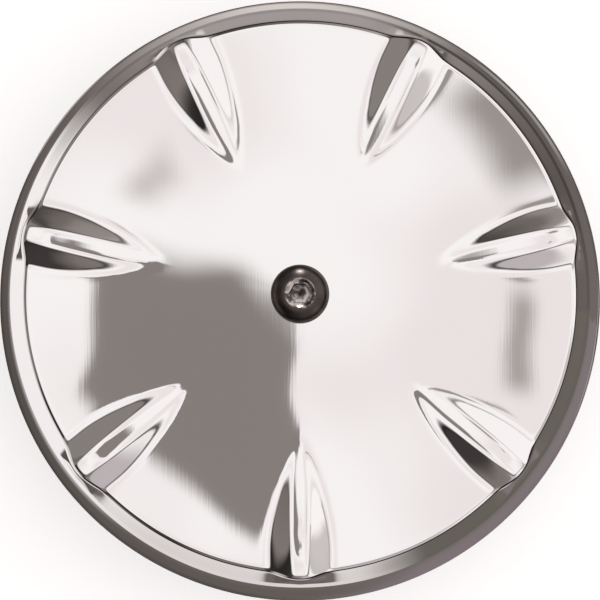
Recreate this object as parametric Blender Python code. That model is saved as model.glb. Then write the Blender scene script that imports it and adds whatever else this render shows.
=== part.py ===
"""Round motorcycle air cleaner: ribbed chrome cover, pleated filter, backplate and fasteners.

The housing lies on its back. Z points out through the cover, and the axis of the
cover, filter and intake bore is the Z axis. z = 0 is the plane of the screw tips that
go into the throttle body and the cylinder heads. All sizes are in metres.
"""

import math

import bmesh
import bpy
from mathutils import Vector

MM = 0.001
INCH = 25.4 * MM
GAP = 0.3 * MM
FULL_TURN = 2 * math.pi

# Levels above the screw tips, from the engine side to the cover.
SCREW_LENGTH = 1.125 * INCH
HEAD_SEAT_Z = SCREW_LENGTH
WASHER_THICKNESS = 1.6 * MM
PLATE_TOP_Z = HEAD_SEAT_Z - WASHER_THICKNESS - 2 * GAP
HUB_DEPTH = 10.0 * MM
HUB_BOTTOM_Z = PLATE_TOP_Z - HUB_DEPTH
GASKET_THICKNESS = 1.0 * MM
MOUNT_Z = HUB_BOTTOM_Z - GAP - GASKET_THICKNESS

# Backplate.
PLATE_R = 80.3 * MM
PLATE_WEB = 3.0 * MM
LIP_INNER_R = 78.4 * MM
LIP_HEIGHT = 3.0 * MM
HUB_R = 43.0 * MM
BORE_R = 24.8 * MM
POST_CIRCLE_R = 50.0 * MM
POST_BOSS_R = 7.0 * MM
POST_BOSS_DEPTH = 8.0 * MM
RIB_COUNT = 12
RIB_THICKNESS = 2.4 * MM
RIB_DEPTH = 3.0 * MM
RIB_FIRST_ANGLE = math.radians(15)
HOLE_CLEARANCE = 0.4 * MM

# Throttle body joint.
THROTTLE_CIRCLE_R = 36.0 * MM
THROTTLE_ANGLES = [math.radians(a) for a in (30, 150, 270)]
THROTTLE_PLACES = [
    (THROTTLE_CIRCLE_R * math.cos(a), THROTTLE_CIRCLE_R * math.sin(a)) for a in THROTTLE_ANGLES
]
QUARTER_SCREW_R = 0.125 * INCH
QUARTER_HEAD_R = 0.1875 * INCH
QUARTER_HEAD_HEIGHT = 0.25 * INCH
QUARTER_HEX_AF = 0.1875 * INCH
QUARTER_HEX_DEPTH = 3.2 * MM
THROTTLE_WASHER_R = 5.6 * MM
LEAD_IN = 0.8 * MM

# Breather bolts into the two cylinder heads.
BREATHER_X = 48.5 * MM
BREATHER_PLACES = [(-BREATHER_X, 0.0), (BREATHER_X, 0.0)]
BREATHER_BOSS_R = 11.0 * MM
BREATHER_WASHER_R = 10.0 * MM
BREATHER_BOLT_R = 0.25 * INCH
BREATHER_HEX_AF = 0.6875 * INCH
BREATHER_HEAD_HEIGHT = 7.5 * MM
BREATHER_COLLAR_R = 9.6 * MM
BREATHER_COLLAR_HEIGHT = 1.5 * MM
BREATHER_BORE_R = 2.75 * MM

# Velocity stack.
STACK_BORE_R = 23.0 * MM
STACK_FLARE_R = 7.0 * MM
STACK_WALL = 1.5 * MM
STACK_TOP_Z = PLATE_TOP_Z + 12.0 * MM
STACK_SEAL_WIDTH = 2.6 * MM
STACK_SEAL_THICKNESS = 2.4 * MM

# Posts that carry the top plate.
POST_ANGLES = [math.radians(a) for a in (90, 210, 330)]
POST_PLACES = [(POST_CIRCLE_R * math.cos(a), POST_CIRCLE_R * math.sin(a)) for a in POST_ANGLES]
POST_HEX_AF = 11.0 * MM
POST_STUD_R = 3.1 * MM
POST_BORE_R = 3.5 * MM
POST_BORE_DEPTH = 16.0 * MM

# Filter element.
SEAL_OUTER_R = 78.0 * MM
SEAL_INNER_R = 59.5 * MM
SEAL_HEIGHT = 6.0 * MM
SEAL_CHAMFER = 0.8 * MM
MEDIA_OUTER_R = 77.0 * MM
MEDIA_INNER_R = 61.0 * MM
MESH_WALL = 0.8 * MM
FILTER_BOTTOM_Z = PLATE_TOP_Z + GAP
FILTER_HEIGHT = 44.0 * MM
FILTER_TOP_Z = FILTER_BOTTOM_Z + FILTER_HEIGHT
PLEAT_COUNT = 60
PLEAT_PAPER = 1.0 * MM
# A fold is steep, so its paper is wider along the radius than across itself.
PLEAT_FOLD_SHIFT = 2.2 * PLEAT_PAPER

# Top plate and the post for the cover bolt.
TOP_PLATE_Z = FILTER_TOP_Z + GAP
TOP_PLATE_THICKNESS = 2.0 * MM
TOP_PLATE_R = 78.4 * MM
# Radius and rise of the raised bead pressed into the top plate.
TOP_PLATE_BEAD = [(58.0 * MM, 0.0), (59.5 * MM, MM), (62.0 * MM, MM), (63.5 * MM, 0.0)]
TOP_SCREW_LENGTH = 0.625 * INCH
TOP_SCREW_HEAD_HEIGHT = 3.35 * MM
TOP_SCREW_HEX_AF = 5.0 / 32.0 * INCH
TOP_SCREW_HEX_DEPTH = 2.0 * MM
# Radius and height above the seat of a 1/4-20 button head's crown.
TOP_SCREW_CROWN = [(5.55 * MM, 0.0), (5.3 * MM, 1.2 * MM), (4.3 * MM, 2.5 * MM)]
TOP_SCREW_FLAT_R = 2.9 * MM
COVER_POST_R = 9.0 * MM
COVER_POST_FOOT_R = 13.0 * MM
COVER_POST_FOOT_THICKNESS = 2.0 * MM
COVER_POST_BORE_R = 5.1 * MM
CUSHION_MEAN_R = 68.0 * MM
CUSHION_WIDTH = 5.0 * MM

# Cover.
COVER_TOP_Z = 88.0 * MM
COVER_WALL = 1.2 * MM
COVER_HOLE_R = 5.4 * MM
COVER_R = 88.0 * MM
SKIRT_BOTTOM_Z = 38.0 * MM
# The face is a dome that falls by DOME_SAG at DOME_R, and ends at EDGE_R between ridges.
DOME_SAG = 7.0 * MM
DOME_R = 77.6 * MM
EDGE_R = 79.6 * MM
EDGE_ROUND = 2.4 * MM
# A wall leads down from the face's edge to a ledge, which rolls over into the skirt.
LEDGE_R = 84.0 * MM
LEDGE_Z = COVER_TOP_Z - 12.6 * MM
LEDGE_LEAN = math.radians(13)
LEDGE_WIDTH = 1.6 * MM
RIDGE_COUNT = 7
RIDGE_FIRST_ANGLE = math.radians(270)
RIDGE_TIP_R = 43.0 * MM
RIDGE_FULL_R = 78.0 * MM
RIDGE_HEIGHT = 4.9 * MM
RIDGE_CREST_HALF = 1.1 * MM
RIDGE_BASE_HALF = 8.3 * MM
TONGUE_REACH = 3.0 * MM
TONGUE_HALF = 8.6 * MM

# Cover bolt, a 3/8-16 button head.
COVER_BOLT_R = 4.65 * MM
COVER_BOLT_HEAD_R = 8.33 * MM
COVER_BOLT_HEAD_HEIGHT = 5.0 * MM
COVER_BOLT_HEX_AF = 7.0 / 32.0 * INCH
COVER_BOLT_HEX_DEPTH = 2.9 * MM
COVER_BOLT_FLAT_R = 4.6 * MM
COVER_BOLT_RIM = 0.8 * MM
COVER_BOLT_LENGTH = 0.75 * INCH
BOLT_WASHER_THICKNESS = 1.0 * MM
BOLT_WASHER_R = 8.0 * MM
BOLT_SEAT_Z = COVER_TOP_Z + 2 * GAP + BOLT_WASHER_THICKNESS


def clear_scene():
    for thing in list(bpy.data.objects):
        bpy.data.objects.remove(thing, do_unlink=True)


def material(name, colour, roughness, metallic):
    made = bpy.data.materials.new(name)
    made.use_nodes = True
    shader = made.node_tree.nodes["Principled BSDF"]
    shader.inputs["Base Color"].default_value = (*colour, 1.0)
    shader.inputs["Roughness"].default_value = roughness
    shader.inputs["Metallic"].default_value = metallic
    return made


def make_materials():
    return {
        "chrome": material("polished chrome", (0.78, 0.77, 0.76), 0.05, 1.0),
        "black_steel": material("black oxide steel", (0.06, 0.055, 0.055), 0.30, 1.0),
        "zinc_steel": material("zinc plated steel", (0.62, 0.62, 0.60), 0.30, 1.0),
        "plate_steel": material("pressed steel plate", (0.45, 0.45, 0.46), 0.35, 1.0),
        "cast_aluminium": material("cast aluminium", (0.58, 0.58, 0.58), 0.45, 1.0),
        "turned_aluminium": material("turned aluminium", (0.74, 0.74, 0.75), 0.22, 1.0),
        "wire_mesh": material("coated wire mesh", (0.55, 0.56, 0.57), 0.35, 1.0),
        "cotton": material("oiled cotton gauze", (0.46, 0.05, 0.05), 0.85, 0.0),
        "polyurethane": material("moulded polyurethane", (0.03, 0.03, 0.035), 0.55, 0.0),
        "rubber": material("black rubber", (0.015, 0.015, 0.015), 0.60, 0.0),
        "gasket": material("gasket fibre", (0.10, 0.12, 0.11), 0.90, 0.0),
        "copper": material("copper washer", (0.72, 0.38, 0.24), 0.30, 1.0),
    }


def finish(shape, name, paint, smooth_degrees=35.0):
    """Turns a bmesh into a named object with one material and smooth round faces."""
    mesh = bpy.data.meshes.new(name)
    bmesh.ops.recalc_face_normals(shape, faces=shape.faces)
    shape.to_mesh(mesh)
    shape.free()
    mesh.shade_smooth()
    mesh.set_sharp_from_angle(angle=math.radians(smooth_degrees))
    mesh.materials.append(paint)
    made = bpy.data.objects.new(name, mesh)
    bpy.context.collection.objects.link(made)
    return made


def turned(name, outline, paint, steps):
    """Spins a closed outline of (radius, z) points once about the Z axis."""
    shape = bmesh.new()
    points = [shape.verts.new((radius, 0.0, z)) for radius, z in outline]
    edges = [shape.edges.new((points[i - 1], points[i])) for i in range(len(points))]
    bmesh.ops.spin(
        shape,
        geom=points + edges,
        cent=(0, 0, 0),
        axis=(0, 0, 1),
        angle=FULL_TURN,
        steps=steps,
        use_merge=True,
    )
    bmesh.ops.remove_doubles(shape, verts=shape.verts, dist=MM / 1000)
    loose = [vert for vert in shape.verts if not vert.link_faces]
    bmesh.ops.delete(shape, geom=loose, context="VERTS")
    return finish(shape, name, paint)


def ring(count, radius):
    """Points evenly spaced round a circle, the first on the X axis."""
    step = FULL_TURN / count
    return [(radius * math.cos(i * step), radius * math.sin(i * step)) for i in range(count)]


def hexagon(across_flats):
    return ring(6, across_flats / 2 / math.cos(math.pi / 6))


def add_prism(shape, outline, low, high, at=(0.0, 0.0)):
    """Extrudes a flat outline of (x, y) points from one level to another."""
    base = [shape.verts.new((at[0] + x, at[1] + y, low)) for x, y in outline]
    face = shape.faces.new(base)
    raised = bmesh.ops.extrude_face_region(shape, geom=[face])["geom"]
    tops = [item for item in raised if isinstance(item, bmesh.types.BMVert)]
    bmesh.ops.translate(shape, vec=(0, 0, high - low), verts=tops)


def cutter(name, shape):
    bmesh.ops.recalc_face_normals(shape, faces=shape.faces)
    mesh = bpy.data.meshes.new(name)
    shape.to_mesh(mesh)
    shape.free()
    made = bpy.data.objects.new(name, mesh)
    bpy.context.collection.objects.link(made)
    made.hide_render = True
    made.display_type = "WIRE"
    return made


def boolean(thing, other, operation, solver="EXACT"):
    change = thing.modifiers.new(other.name, "BOOLEAN")
    change.operation = operation
    change.object = other
    change.solver = solver


def spread(model, names, places, angles=None):
    """Puts one copy of a finished model at each place; the copies share its mesh."""
    graph = bpy.context.evaluated_depsgraph_get()
    mesh = bpy.data.meshes.new_from_object(model.evaluated_get(graph))
    for cut in [change.object for change in model.modifiers]:
        bpy.data.objects.remove(cut)
    bpy.data.objects.remove(model)
    for i, (name, place) in enumerate(zip(names, places)):
        copy = bpy.data.objects.new(name, mesh)
        bpy.context.collection.objects.link(copy)
        copy.location = (place[0], place[1], 0.0)
        copy.rotation_euler.z = angles[i] if angles else 0.0


def numbered(name):
    return [f"{name}_{i + 1}" for i in range(3)]


def hole_cutter(name, places, radius, low, high, steps=18):
    shape = bmesh.new()
    circle = ring(steps, radius)
    for place in places:
        add_prism(shape, circle, low, high, at=place)
    return cutter(name, shape)


def hex_cutter(name, across_flats, low, high):
    shape = bmesh.new()
    add_prism(shape, hexagon(across_flats), low, high)
    return cutter(name, shape)


def washer_outline(inner, outer, low, thickness):
    return [(inner, low), (outer, low), (outer, low + thickness), (inner, low + thickness)]


# ---------------------------------------------------------------- engine side


def make_throttle_gasket(paints):
    """A fibre ring under the hub, with screw holes and room for the breather gaskets."""
    outline = washer_outline(BORE_R + 0.2 * MM, HUB_R - MM, MOUNT_Z, GASKET_THICKNESS)
    gasket = turned("throttle_gasket", outline, paints["gasket"], 36)
    below = MOUNT_Z - MM
    above = MOUNT_Z + 2 * MM
    hole_r = QUARTER_SCREW_R + HOLE_CLEARANCE
    boolean(gasket, hole_cutter("gasket holes", THROTTLE_PLACES, hole_r, below, above), "DIFFERENCE")
    notch_r = BREATHER_WASHER_R + 0.8 * MM
    notches = hole_cutter("gasket notches", BREATHER_PLACES, notch_r, below, above)
    boolean(gasket, notches, "DIFFERENCE")


def make_breather_gaskets(paints):
    inner = BREATHER_BOLT_R + HOLE_CLEARANCE
    outline = washer_outline(inner, BREATHER_WASHER_R, MOUNT_Z, GASKET_THICKNESS)
    model = turned("breather gasket", outline, paints["gasket"], 28)
    spread(model, ["breather_gasket_left", "breather_gasket_right"], BREATHER_PLACES)


def make_backplate(paints):
    web_bottom = PLATE_TOP_Z - PLATE_WEB
    lip_top = PLATE_TOP_Z + LIP_HEIGHT
    outline = [
        (BORE_R, HUB_BOTTOM_Z),
        (HUB_R, HUB_BOTTOM_Z),
        (HUB_R, web_bottom),
        (PLATE_R, web_bottom),
        (PLATE_R, lip_top),
        (LIP_INNER_R, lip_top),
        (LIP_INNER_R, PLATE_TOP_Z),
        (BORE_R, PLATE_TOP_Z),
    ]
    plate = turned("backplate", outline, paints["cast_aluminium"], 60)

    # Each boss starts inside the web, so that the union has no coincident faces.
    inside_web = PLATE_TOP_Z - PLATE_WEB / 2
    bosses = bmesh.new()
    for place in BREATHER_PLACES:
        add_prism(bosses, ring(28, BREATHER_BOSS_R), HUB_BOTTOM_Z, inside_web, at=place)
    boolean(plate, cutter("breather_bosses", bosses), "UNION", solver="MANIFOLD")

    posts = bmesh.new()
    post_boss_bottom = PLATE_TOP_Z - POST_BOSS_DEPTH
    for place in POST_PLACES:
        add_prism(posts, ring(20, POST_BOSS_R), post_boss_bottom, inside_web, at=place)
    boolean(plate, cutter("post_bosses", posts), "UNION", solver="MANIFOLD")

    ribs = bmesh.new()
    rib_bottom = web_bottom - RIB_DEPTH
    for i in range(RIB_COUNT):
        angle = RIB_FIRST_ANGLE + i * FULL_TURN / RIB_COUNT
        along = Vector((math.cos(angle), math.sin(angle)))
        across = Vector((-along.y, along.x)) * RIB_THICKNESS / 2
        near = along * (HUB_R - 2 * MM)
        far = along * (PLATE_R - 2 * MM)
        corners = [near - across, far - across, far + across, near + across]
        add_prism(ribs, [tuple(corner) for corner in corners], rib_bottom, inside_web)
    boolean(plate, cutter("backplate_ribs", ribs), "UNION", solver="MANIFOLD")

    below = HUB_BOTTOM_Z - MM
    above = PLATE_TOP_Z + MM
    holes = [
        ("plate_screw_holes", THROTTLE_PLACES, QUARTER_SCREW_R),
        ("plate_breather_holes", BREATHER_PLACES, BREATHER_BOLT_R),
        ("plate_post_holes", POST_PLACES, POST_STUD_R),
    ]
    for name, places, radius in holes:
        cut = hole_cutter(name, places, radius + HOLE_CLEARANCE, below, above)
        boolean(plate, cut, "DIFFERENCE", solver="MANIFOLD")


def make_velocity_stack(paints):
    """A tube in the backplate's bore, with a rolled bell mouth of constant wall above it."""
    bottom = HUB_BOTTOM_Z + MM
    outer_r = STACK_BORE_R + STACK_WALL
    bell_z = STACK_TOP_Z - STACK_FLARE_R
    centre_r = STACK_BORE_R + STACK_FLARE_R
    arc = [math.radians(180 - 30 * i) for i in range(4)]
    inner = [
        (centre_r + STACK_FLARE_R * math.cos(a), bell_z + STACK_FLARE_R * math.sin(a)) for a in arc
    ]
    under = STACK_FLARE_R - STACK_WALL
    outer = [(centre_r + under * math.cos(a), bell_z + under * math.sin(a)) for a in arc]
    outline = [(outer_r, bottom)] + outer + inner[::-1] + [(STACK_BORE_R, bottom)]
    turned("velocity_stack", outline, paints["turned_aluminium"], 32)


def make_stack_seal(paints):
    """The ring that holds the stack up off the backplate's top face."""
    inner = STACK_BORE_R + STACK_WALL + GAP
    low = PLATE_TOP_Z + GAP
    outline = washer_outline(inner, inner + STACK_SEAL_WIDTH, low, STACK_SEAL_THICKNESS)
    turned("stack_seal_ring", outline, paints["rubber"], 32)


def make_throttle_screws(paints):
    outline = [
        (0.0, 0.0),
        (QUARTER_SCREW_R - LEAD_IN, 0.0),
        (QUARTER_SCREW_R, LEAD_IN),
        (QUARTER_SCREW_R, HEAD_SEAT_Z),
        (QUARTER_HEAD_R, HEAD_SEAT_Z),
        (QUARTER_HEAD_R, HEAD_SEAT_Z + QUARTER_HEAD_HEIGHT - 0.4 * MM),
        (QUARTER_HEAD_R - 0.4 * MM, HEAD_SEAT_Z + QUARTER_HEAD_HEIGHT),
        (0.0, HEAD_SEAT_Z + QUARTER_HEAD_HEIGHT),
    ]
    model = turned("throttle screw", outline, paints["zinc_steel"], 16)
    top = HEAD_SEAT_Z + QUARTER_HEAD_HEIGHT
    socket = hex_cutter("throttle screw socket", QUARTER_HEX_AF, top - QUARTER_HEX_DEPTH, top + MM)
    boolean(model, socket, "DIFFERENCE")
    spread(model, numbered("throttle_screw"), THROTTLE_PLACES)


def make_throttle_washers(paints):
    low = PLATE_TOP_Z + GAP
    outline = washer_outline(QUARTER_SCREW_R + GAP, THROTTLE_WASHER_R, low, WASHER_THICKNESS)
    model = turned("throttle washer", outline, paints["zinc_steel"], 20)
    spread(model, numbered("throttle_screw_washer"), THROTTLE_PLACES)


def make_breather_washers(paints):
    low = PLATE_TOP_Z + GAP
    outline = washer_outline(BREATHER_BOLT_R + GAP, BREATHER_WASHER_R, low, WASHER_THICKNESS)
    model = turned("breather washer", outline, paints["copper"], 28)
    spread(model, ["breather_washer_left", "breather_washer_right"], BREATHER_PLACES)


def make_breather_bolts(paints):
    """Two hollow bolts: a hexagon head with a collar, a shank, and a bore open at both ends."""
    top = HEAD_SEAT_Z + BREATHER_HEAD_HEIGHT
    collar_top = HEAD_SEAT_Z + BREATHER_COLLAR_HEIGHT
    outline = [
        (0.0, 0.0),
        (BREATHER_BOLT_R - MM, 0.0),
        (BREATHER_BOLT_R, 1.2 * MM),
        (BREATHER_BOLT_R, HEAD_SEAT_Z),
        (BREATHER_COLLAR_R, HEAD_SEAT_Z),
        (BREATHER_COLLAR_R, collar_top),
        (0.0, collar_top),
    ]
    model = turned("breather bolt", outline, paints["zinc_steel"], 24)
    head = bmesh.new()
    add_prism(head, hexagon(BREATHER_HEX_AF), HEAD_SEAT_Z + BREATHER_COLLAR_HEIGHT / 2, top)
    boolean(model, cutter("breather head", head), "UNION")
    bore = hole_cutter("breather bore", [(0.0, 0.0)], BREATHER_BORE_R, -MM, top + MM, steps=16)
    boolean(model, bore, "DIFFERENCE")
    spread(model, ["breather_bolt_left", "breather_bolt_right"], BREATHER_PLACES)


def make_top_plate_posts(paints):
    """Three hexagon posts with a stud below and a threaded bore above."""
    low = PLATE_TOP_Z + GAP
    high = TOP_PLATE_Z - GAP
    stud_bottom = PLATE_TOP_Z - POST_BOSS_DEPTH + MM
    body = bmesh.new()
    add_prism(body, hexagon(POST_HEX_AF), low, high)
    model = finish(body, "post", paints["zinc_steel"])
    stud = hole_cutter("post stud", [(0.0, 0.0)], POST_STUD_R, stud_bottom, low + MM, steps=16)
    boolean(model, stud, "UNION")
    bore_low = high - POST_BORE_DEPTH
    bore = hole_cutter("post bore", [(0.0, 0.0)], POST_BORE_R, bore_low, high + MM, steps=16)
    boolean(model, bore, "DIFFERENCE")
    spread(model, numbered("top_plate_post"), POST_PLACES, POST_ANGLES)


# ---------------------------------------------------------------- filter


def make_filter_seal(name, low, paints):
    """A moulded end ring with chamfered outer edges."""
    high = low + SEAL_HEIGHT
    outline = [
        (SEAL_INNER_R, low),
        (SEAL_OUTER_R - SEAL_CHAMFER, low),
        (SEAL_OUTER_R, low + SEAL_CHAMFER),
        (SEAL_OUTER_R, high - SEAL_CHAMFER),
        (SEAL_OUTER_R - SEAL_CHAMFER, high),
        (SEAL_INNER_R, high),
    ]
    turned(name, outline, paints["polyurethane"], 48)


def make_filter_meshes(low, high, paints):
    """A sleeve outside the pleats and one inside them."""
    outer = washer_outline(MEDIA_OUTER_R - MESH_WALL, MEDIA_OUTER_R, low, high - low)
    inner = washer_outline(MEDIA_INNER_R, MEDIA_INNER_R + MESH_WALL, low, high - low)
    turned("filter_outer_mesh", outer, paints["wire_mesh"], 48)
    turned("filter_inner_mesh", inner, paints["wire_mesh"], 48)


def make_filter_pleats(low, high, paints):
    """One folded band of gauze, as a star ring of constant thickness."""
    crest_r = MEDIA_OUTER_R - MESH_WALL - GAP
    root_r = MEDIA_INNER_R + MESH_WALL + GAP
    shape = bmesh.new()
    outside = []
    inside = []
    half = math.pi / PLEAT_COUNT
    for i in range(PLEAT_COUNT):
        middle = 2 * i * half
        for radius, angle in ((crest_r, middle), (root_r + PLEAT_FOLD_SHIFT, middle + half)):
            outside.append((radius * math.cos(angle), radius * math.sin(angle)))
        for radius, angle in ((crest_r - PLEAT_FOLD_SHIFT, middle), (root_r, middle + half)):
            inside.append((radius * math.cos(angle), radius * math.sin(angle)))
    walls = []
    for level in (low, high):
        for loop in (outside, inside):
            walls.append([shape.verts.new((x, y, level)) for x, y in loop])
    low_out, low_in, high_out, high_in = walls
    for i in range(len(outside)):
        shape.faces.new((low_out[i - 1], low_out[i], high_out[i], high_out[i - 1]))
        shape.faces.new((low_in[i], low_in[i - 1], high_in[i - 1], high_in[i]))
        shape.faces.new((low_out[i], low_out[i - 1], low_in[i - 1], low_in[i]))
        shape.faces.new((high_out[i - 1], high_out[i], high_in[i], high_in[i - 1]))
    finish(shape, "filter_pleats", paints["cotton"], smooth_degrees=20.0)


def make_filter(paints):
    media_low = FILTER_BOTTOM_Z + SEAL_HEIGHT + GAP
    media_high = FILTER_TOP_Z - SEAL_HEIGHT - GAP
    make_filter_seal("filter_lower_seal", FILTER_BOTTOM_Z, paints)
    make_filter_seal("filter_upper_seal", FILTER_TOP_Z - SEAL_HEIGHT, paints)
    make_filter_meshes(media_low, media_high, paints)
    make_filter_pleats(media_low, media_high, paints)


# ---------------------------------------------------------------- top plate


def make_top_plate(paints):
    """A pressed disc with a raised bead near its edge, and a hole for the cover post."""
    low = TOP_PLATE_Z
    high = low + TOP_PLATE_THICKNESS
    inner = COVER_BOLT_R + 0.6 * MM
    edge = [(TOP_PLATE_R, low), (TOP_PLATE_R, high)]
    under = [(radius, low + rise) for radius, rise in TOP_PLATE_BEAD]
    over = [(radius, high + rise) for radius, rise in reversed(TOP_PLATE_BEAD)]
    outline = [(inner, low)] + under + edge + over + [(inner, high)]
    plate = turned("top_plate", outline, paints["plate_steel"], 48)
    hole_r = QUARTER_SCREW_R + HOLE_CLEARANCE
    holes = hole_cutter("top_plate_holes", POST_PLACES, hole_r, low - MM, high + MM, steps=16)
    boolean(plate, holes, "DIFFERENCE")


def make_top_plate_screws(paints):
    seat = TOP_PLATE_Z + TOP_PLATE_THICKNESS + GAP
    top = seat + TOP_SCREW_HEAD_HEIGHT
    tip = seat - TOP_SCREW_LENGTH
    shank = [
        (0.0, tip),
        (QUARTER_SCREW_R - LEAD_IN, tip),
        (QUARTER_SCREW_R, tip + LEAD_IN),
        (QUARTER_SCREW_R, seat),
    ]
    crown = [(radius, seat + rise) for radius, rise in TOP_SCREW_CROWN]
    outline = shank + crown + [(TOP_SCREW_FLAT_R, top), (0.0, top)]
    model = turned("top plate screw", outline, paints["zinc_steel"], 16)
    socket = hex_cutter("top screw socket", TOP_SCREW_HEX_AF, top - TOP_SCREW_HEX_DEPTH, top + MM)
    boolean(model, socket, "DIFFERENCE")
    spread(model, numbered("top_plate_screw"), POST_PLACES)


def make_cover_post(paints):
    """The threaded post that takes the cover bolt, clinched to the top plate."""
    low = TOP_PLATE_Z + TOP_PLATE_THICKNESS + GAP
    high = COVER_TOP_Z - COVER_WALL - GAP
    foot_top = low + COVER_POST_FOOT_THICKNESS
    outline = [
        (COVER_POST_BORE_R, low),
        (COVER_POST_FOOT_R, low),
        (COVER_POST_FOOT_R, foot_top),
        (COVER_POST_R, foot_top),
        (COVER_POST_R, high - 0.6 * MM),
        (COVER_POST_R - 0.6 * MM, high),
        (COVER_POST_BORE_R, high),
    ]
    turned("cover_post", outline, paints["zinc_steel"], 24)


def make_cover_cushion(paints):
    """A foam ring on the top plate that keeps the cover from rattling."""
    low = TOP_PLATE_Z + TOP_PLATE_THICKNESS + GAP
    outer = CUSHION_MEAN_R + CUSHION_WIDTH / 2
    inner = CUSHION_MEAN_R - CUSHION_WIDTH / 2
    high = dome_height(outer) - COVER_WALL - 0.8 * MM
    outline = [
        (inner, low),
        (outer, low),
        (outer, high - MM),
        (outer - MM, high),
        (inner + MM, high),
        (inner, high - MM),
    ]
    turned("cover_cushion", outline, paints["rubber"], 40)


# ---------------------------------------------------------------- cover


def dome_height(radius):
    """The face of the cover without its ridges."""
    return COVER_TOP_Z - DOME_SAG * (radius / DOME_R) ** 2


def smooth_step(value):
    value = min(max(value, 0.0), 1.0)
    return value * value * (3.0 - 2.0 * value)


def ridge_height(across, radius):
    """The height of a ridge above the dome. Its flanks keep one slope, so it widens as it rises."""
    along = (radius - RIDGE_TIP_R) / (RIDGE_FULL_R - RIDGE_TIP_R)
    if along <= 0.0:
        return 0.0
    opening = (1.0 - (1.0 - min(along, 1.0)) ** 2.2) ** 0.72
    crest_half = RIDGE_CREST_HALF * (0.4 + 0.6 * opening)
    flank = (RIDGE_BASE_HALF - RIDGE_CREST_HALF) * opening
    fall = (abs(across) - crest_half) / flank
    return RIDGE_HEIGHT * opening * min(max(1.0 - fall, 0.0), 1.0)


def from_nearest_ridge(angle):
    """The signed angle from the nearest ridge's crest line."""
    sector = FULL_TURN / RIDGE_COUNT
    turn = (angle - RIDGE_FIRST_ANGLE + sector / 2) % sector
    return turn - sector / 2


def face_edge(angle):
    """The radius where the face turns down, further out at the round tongue of each ridge."""
    across = EDGE_R * math.sin(from_nearest_ridge(angle))
    return EDGE_R + TONGUE_REACH * smooth_step(1.0 - abs(across) / TONGUE_HALF)


def cover_profile(angle, face_rows=9):
    """The outer surface from the bolt hole to the skirt's edge, as (radius, z) points."""
    edge = face_edge(angle)
    flat_end = edge - EDGE_ROUND
    rows = []
    for i in range(face_rows):
        share = i / (face_rows - 1)
        radius = COVER_HOLE_R + (flat_end - COVER_HOLE_R) * share**0.75
        across = radius * math.sin(from_nearest_ridge(angle))
        rows.append((radius, dome_height(radius) + ridge_height(across, radius)))
    top = rows[-1][1]
    for degrees in (30, 60):
        turn = math.radians(degrees)
        radius = flat_end + EDGE_ROUND * math.sin(turn)
        rows.append((radius, top - EDGE_ROUND * (1 - math.cos(turn))))
    foot_r = max(LEDGE_R - LEDGE_WIDTH, edge + 0.3 * MM)
    rows.append((foot_r, LEDGE_Z + LEDGE_WIDTH * math.tan(LEDGE_LEAN)))
    shoulder_round = (COVER_R - LEDGE_R) / (1 - math.sin(LEDGE_LEAN))
    shoulder_r = COVER_R - shoulder_round
    shoulder_z = LEDGE_Z - shoulder_round * math.cos(LEDGE_LEAN)
    for degrees in (13, 38, 64, 90):
        turn = math.radians(degrees)
        radius = shoulder_r + shoulder_round * math.sin(turn)
        rows.append((radius, shoulder_z + shoulder_round * math.cos(turn)))
    rows.append((COVER_R, SKIRT_BOTTOM_Z))
    return rows


def cover_angles(per_half_sector=5):
    """Angles round the cover, closer together on the ridges."""
    half = math.pi / RIDGE_COUNT
    angles = []
    for sector in range(RIDGE_COUNT):
        crest = RIDGE_FIRST_ANGLE + sector * 2 * half
        for k in range(-per_half_sector, per_half_sector):
            share = math.copysign((abs(k) / per_half_sector) ** 1.5, k)
            angles.append(crest + half * share)
    return angles


def make_cover(paints):
    """One steel pressing: domed face, seven ridges, stepped shoulder and deep skirt."""
    shape = bmesh.new()
    columns = []
    for angle in cover_angles():
        along = (math.cos(angle), math.sin(angle))
        column = [
            shape.verts.new((radius * along[0], radius * along[1], z))
            for radius, z in cover_profile(angle)
        ]
        columns.append(column)
    for i, column in enumerate(columns):
        previous = columns[i - 1]
        for j in range(len(column) - 1):
            shape.faces.new((previous[j], previous[j + 1], column[j + 1], column[j]))
    cover = finish(shape, "cover", paints["chrome"], smooth_degrees=60.0)
    wall = cover.modifiers.new("sheet", "SOLIDIFY")
    wall.thickness = COVER_WALL
    wall.offset = -1.0
    wall.use_even_offset = True


def make_bolt_washer(paints):
    low = COVER_TOP_Z + GAP
    outline = washer_outline(COVER_BOLT_R + GAP, BOLT_WASHER_R, low, BOLT_WASHER_THICKNESS)
    turned("cover_bolt_washer", outline, paints["rubber"], 32)


def make_cover_bolt(paints):
    """A button head on a plain shank, with a hexagon socket in a chamfered mouth."""
    seat = BOLT_SEAT_Z
    top = seat + COVER_BOLT_HEAD_HEIGHT
    tip = seat - COVER_BOLT_LENGTH
    rim = seat + COVER_BOLT_RIM
    crown = []
    for degrees in (0, 22, 45, 67, 90):
        turn = math.radians(degrees)
        radius = COVER_BOLT_FLAT_R + (COVER_BOLT_HEAD_R - COVER_BOLT_FLAT_R) * math.cos(turn)
        crown.append((radius, rim + (top - rim) * math.sin(turn)))
    outline = [
        (0.0, tip),
        (COVER_BOLT_R - MM, tip),
        (COVER_BOLT_R, tip + MM),
        (COVER_BOLT_R, seat),
        (COVER_BOLT_HEAD_R - 0.3 * MM, seat),
    ]
    bolt = turned("cover_bolt", outline + crown + [(0.0, top)], paints["black_steel"], 32)
    socket_low = top - COVER_BOLT_HEX_DEPTH
    socket = hex_cutter("cover bolt socket", COVER_BOLT_HEX_AF, socket_low, top + MM)
    boolean(bolt, socket, "DIFFERENCE")


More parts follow.
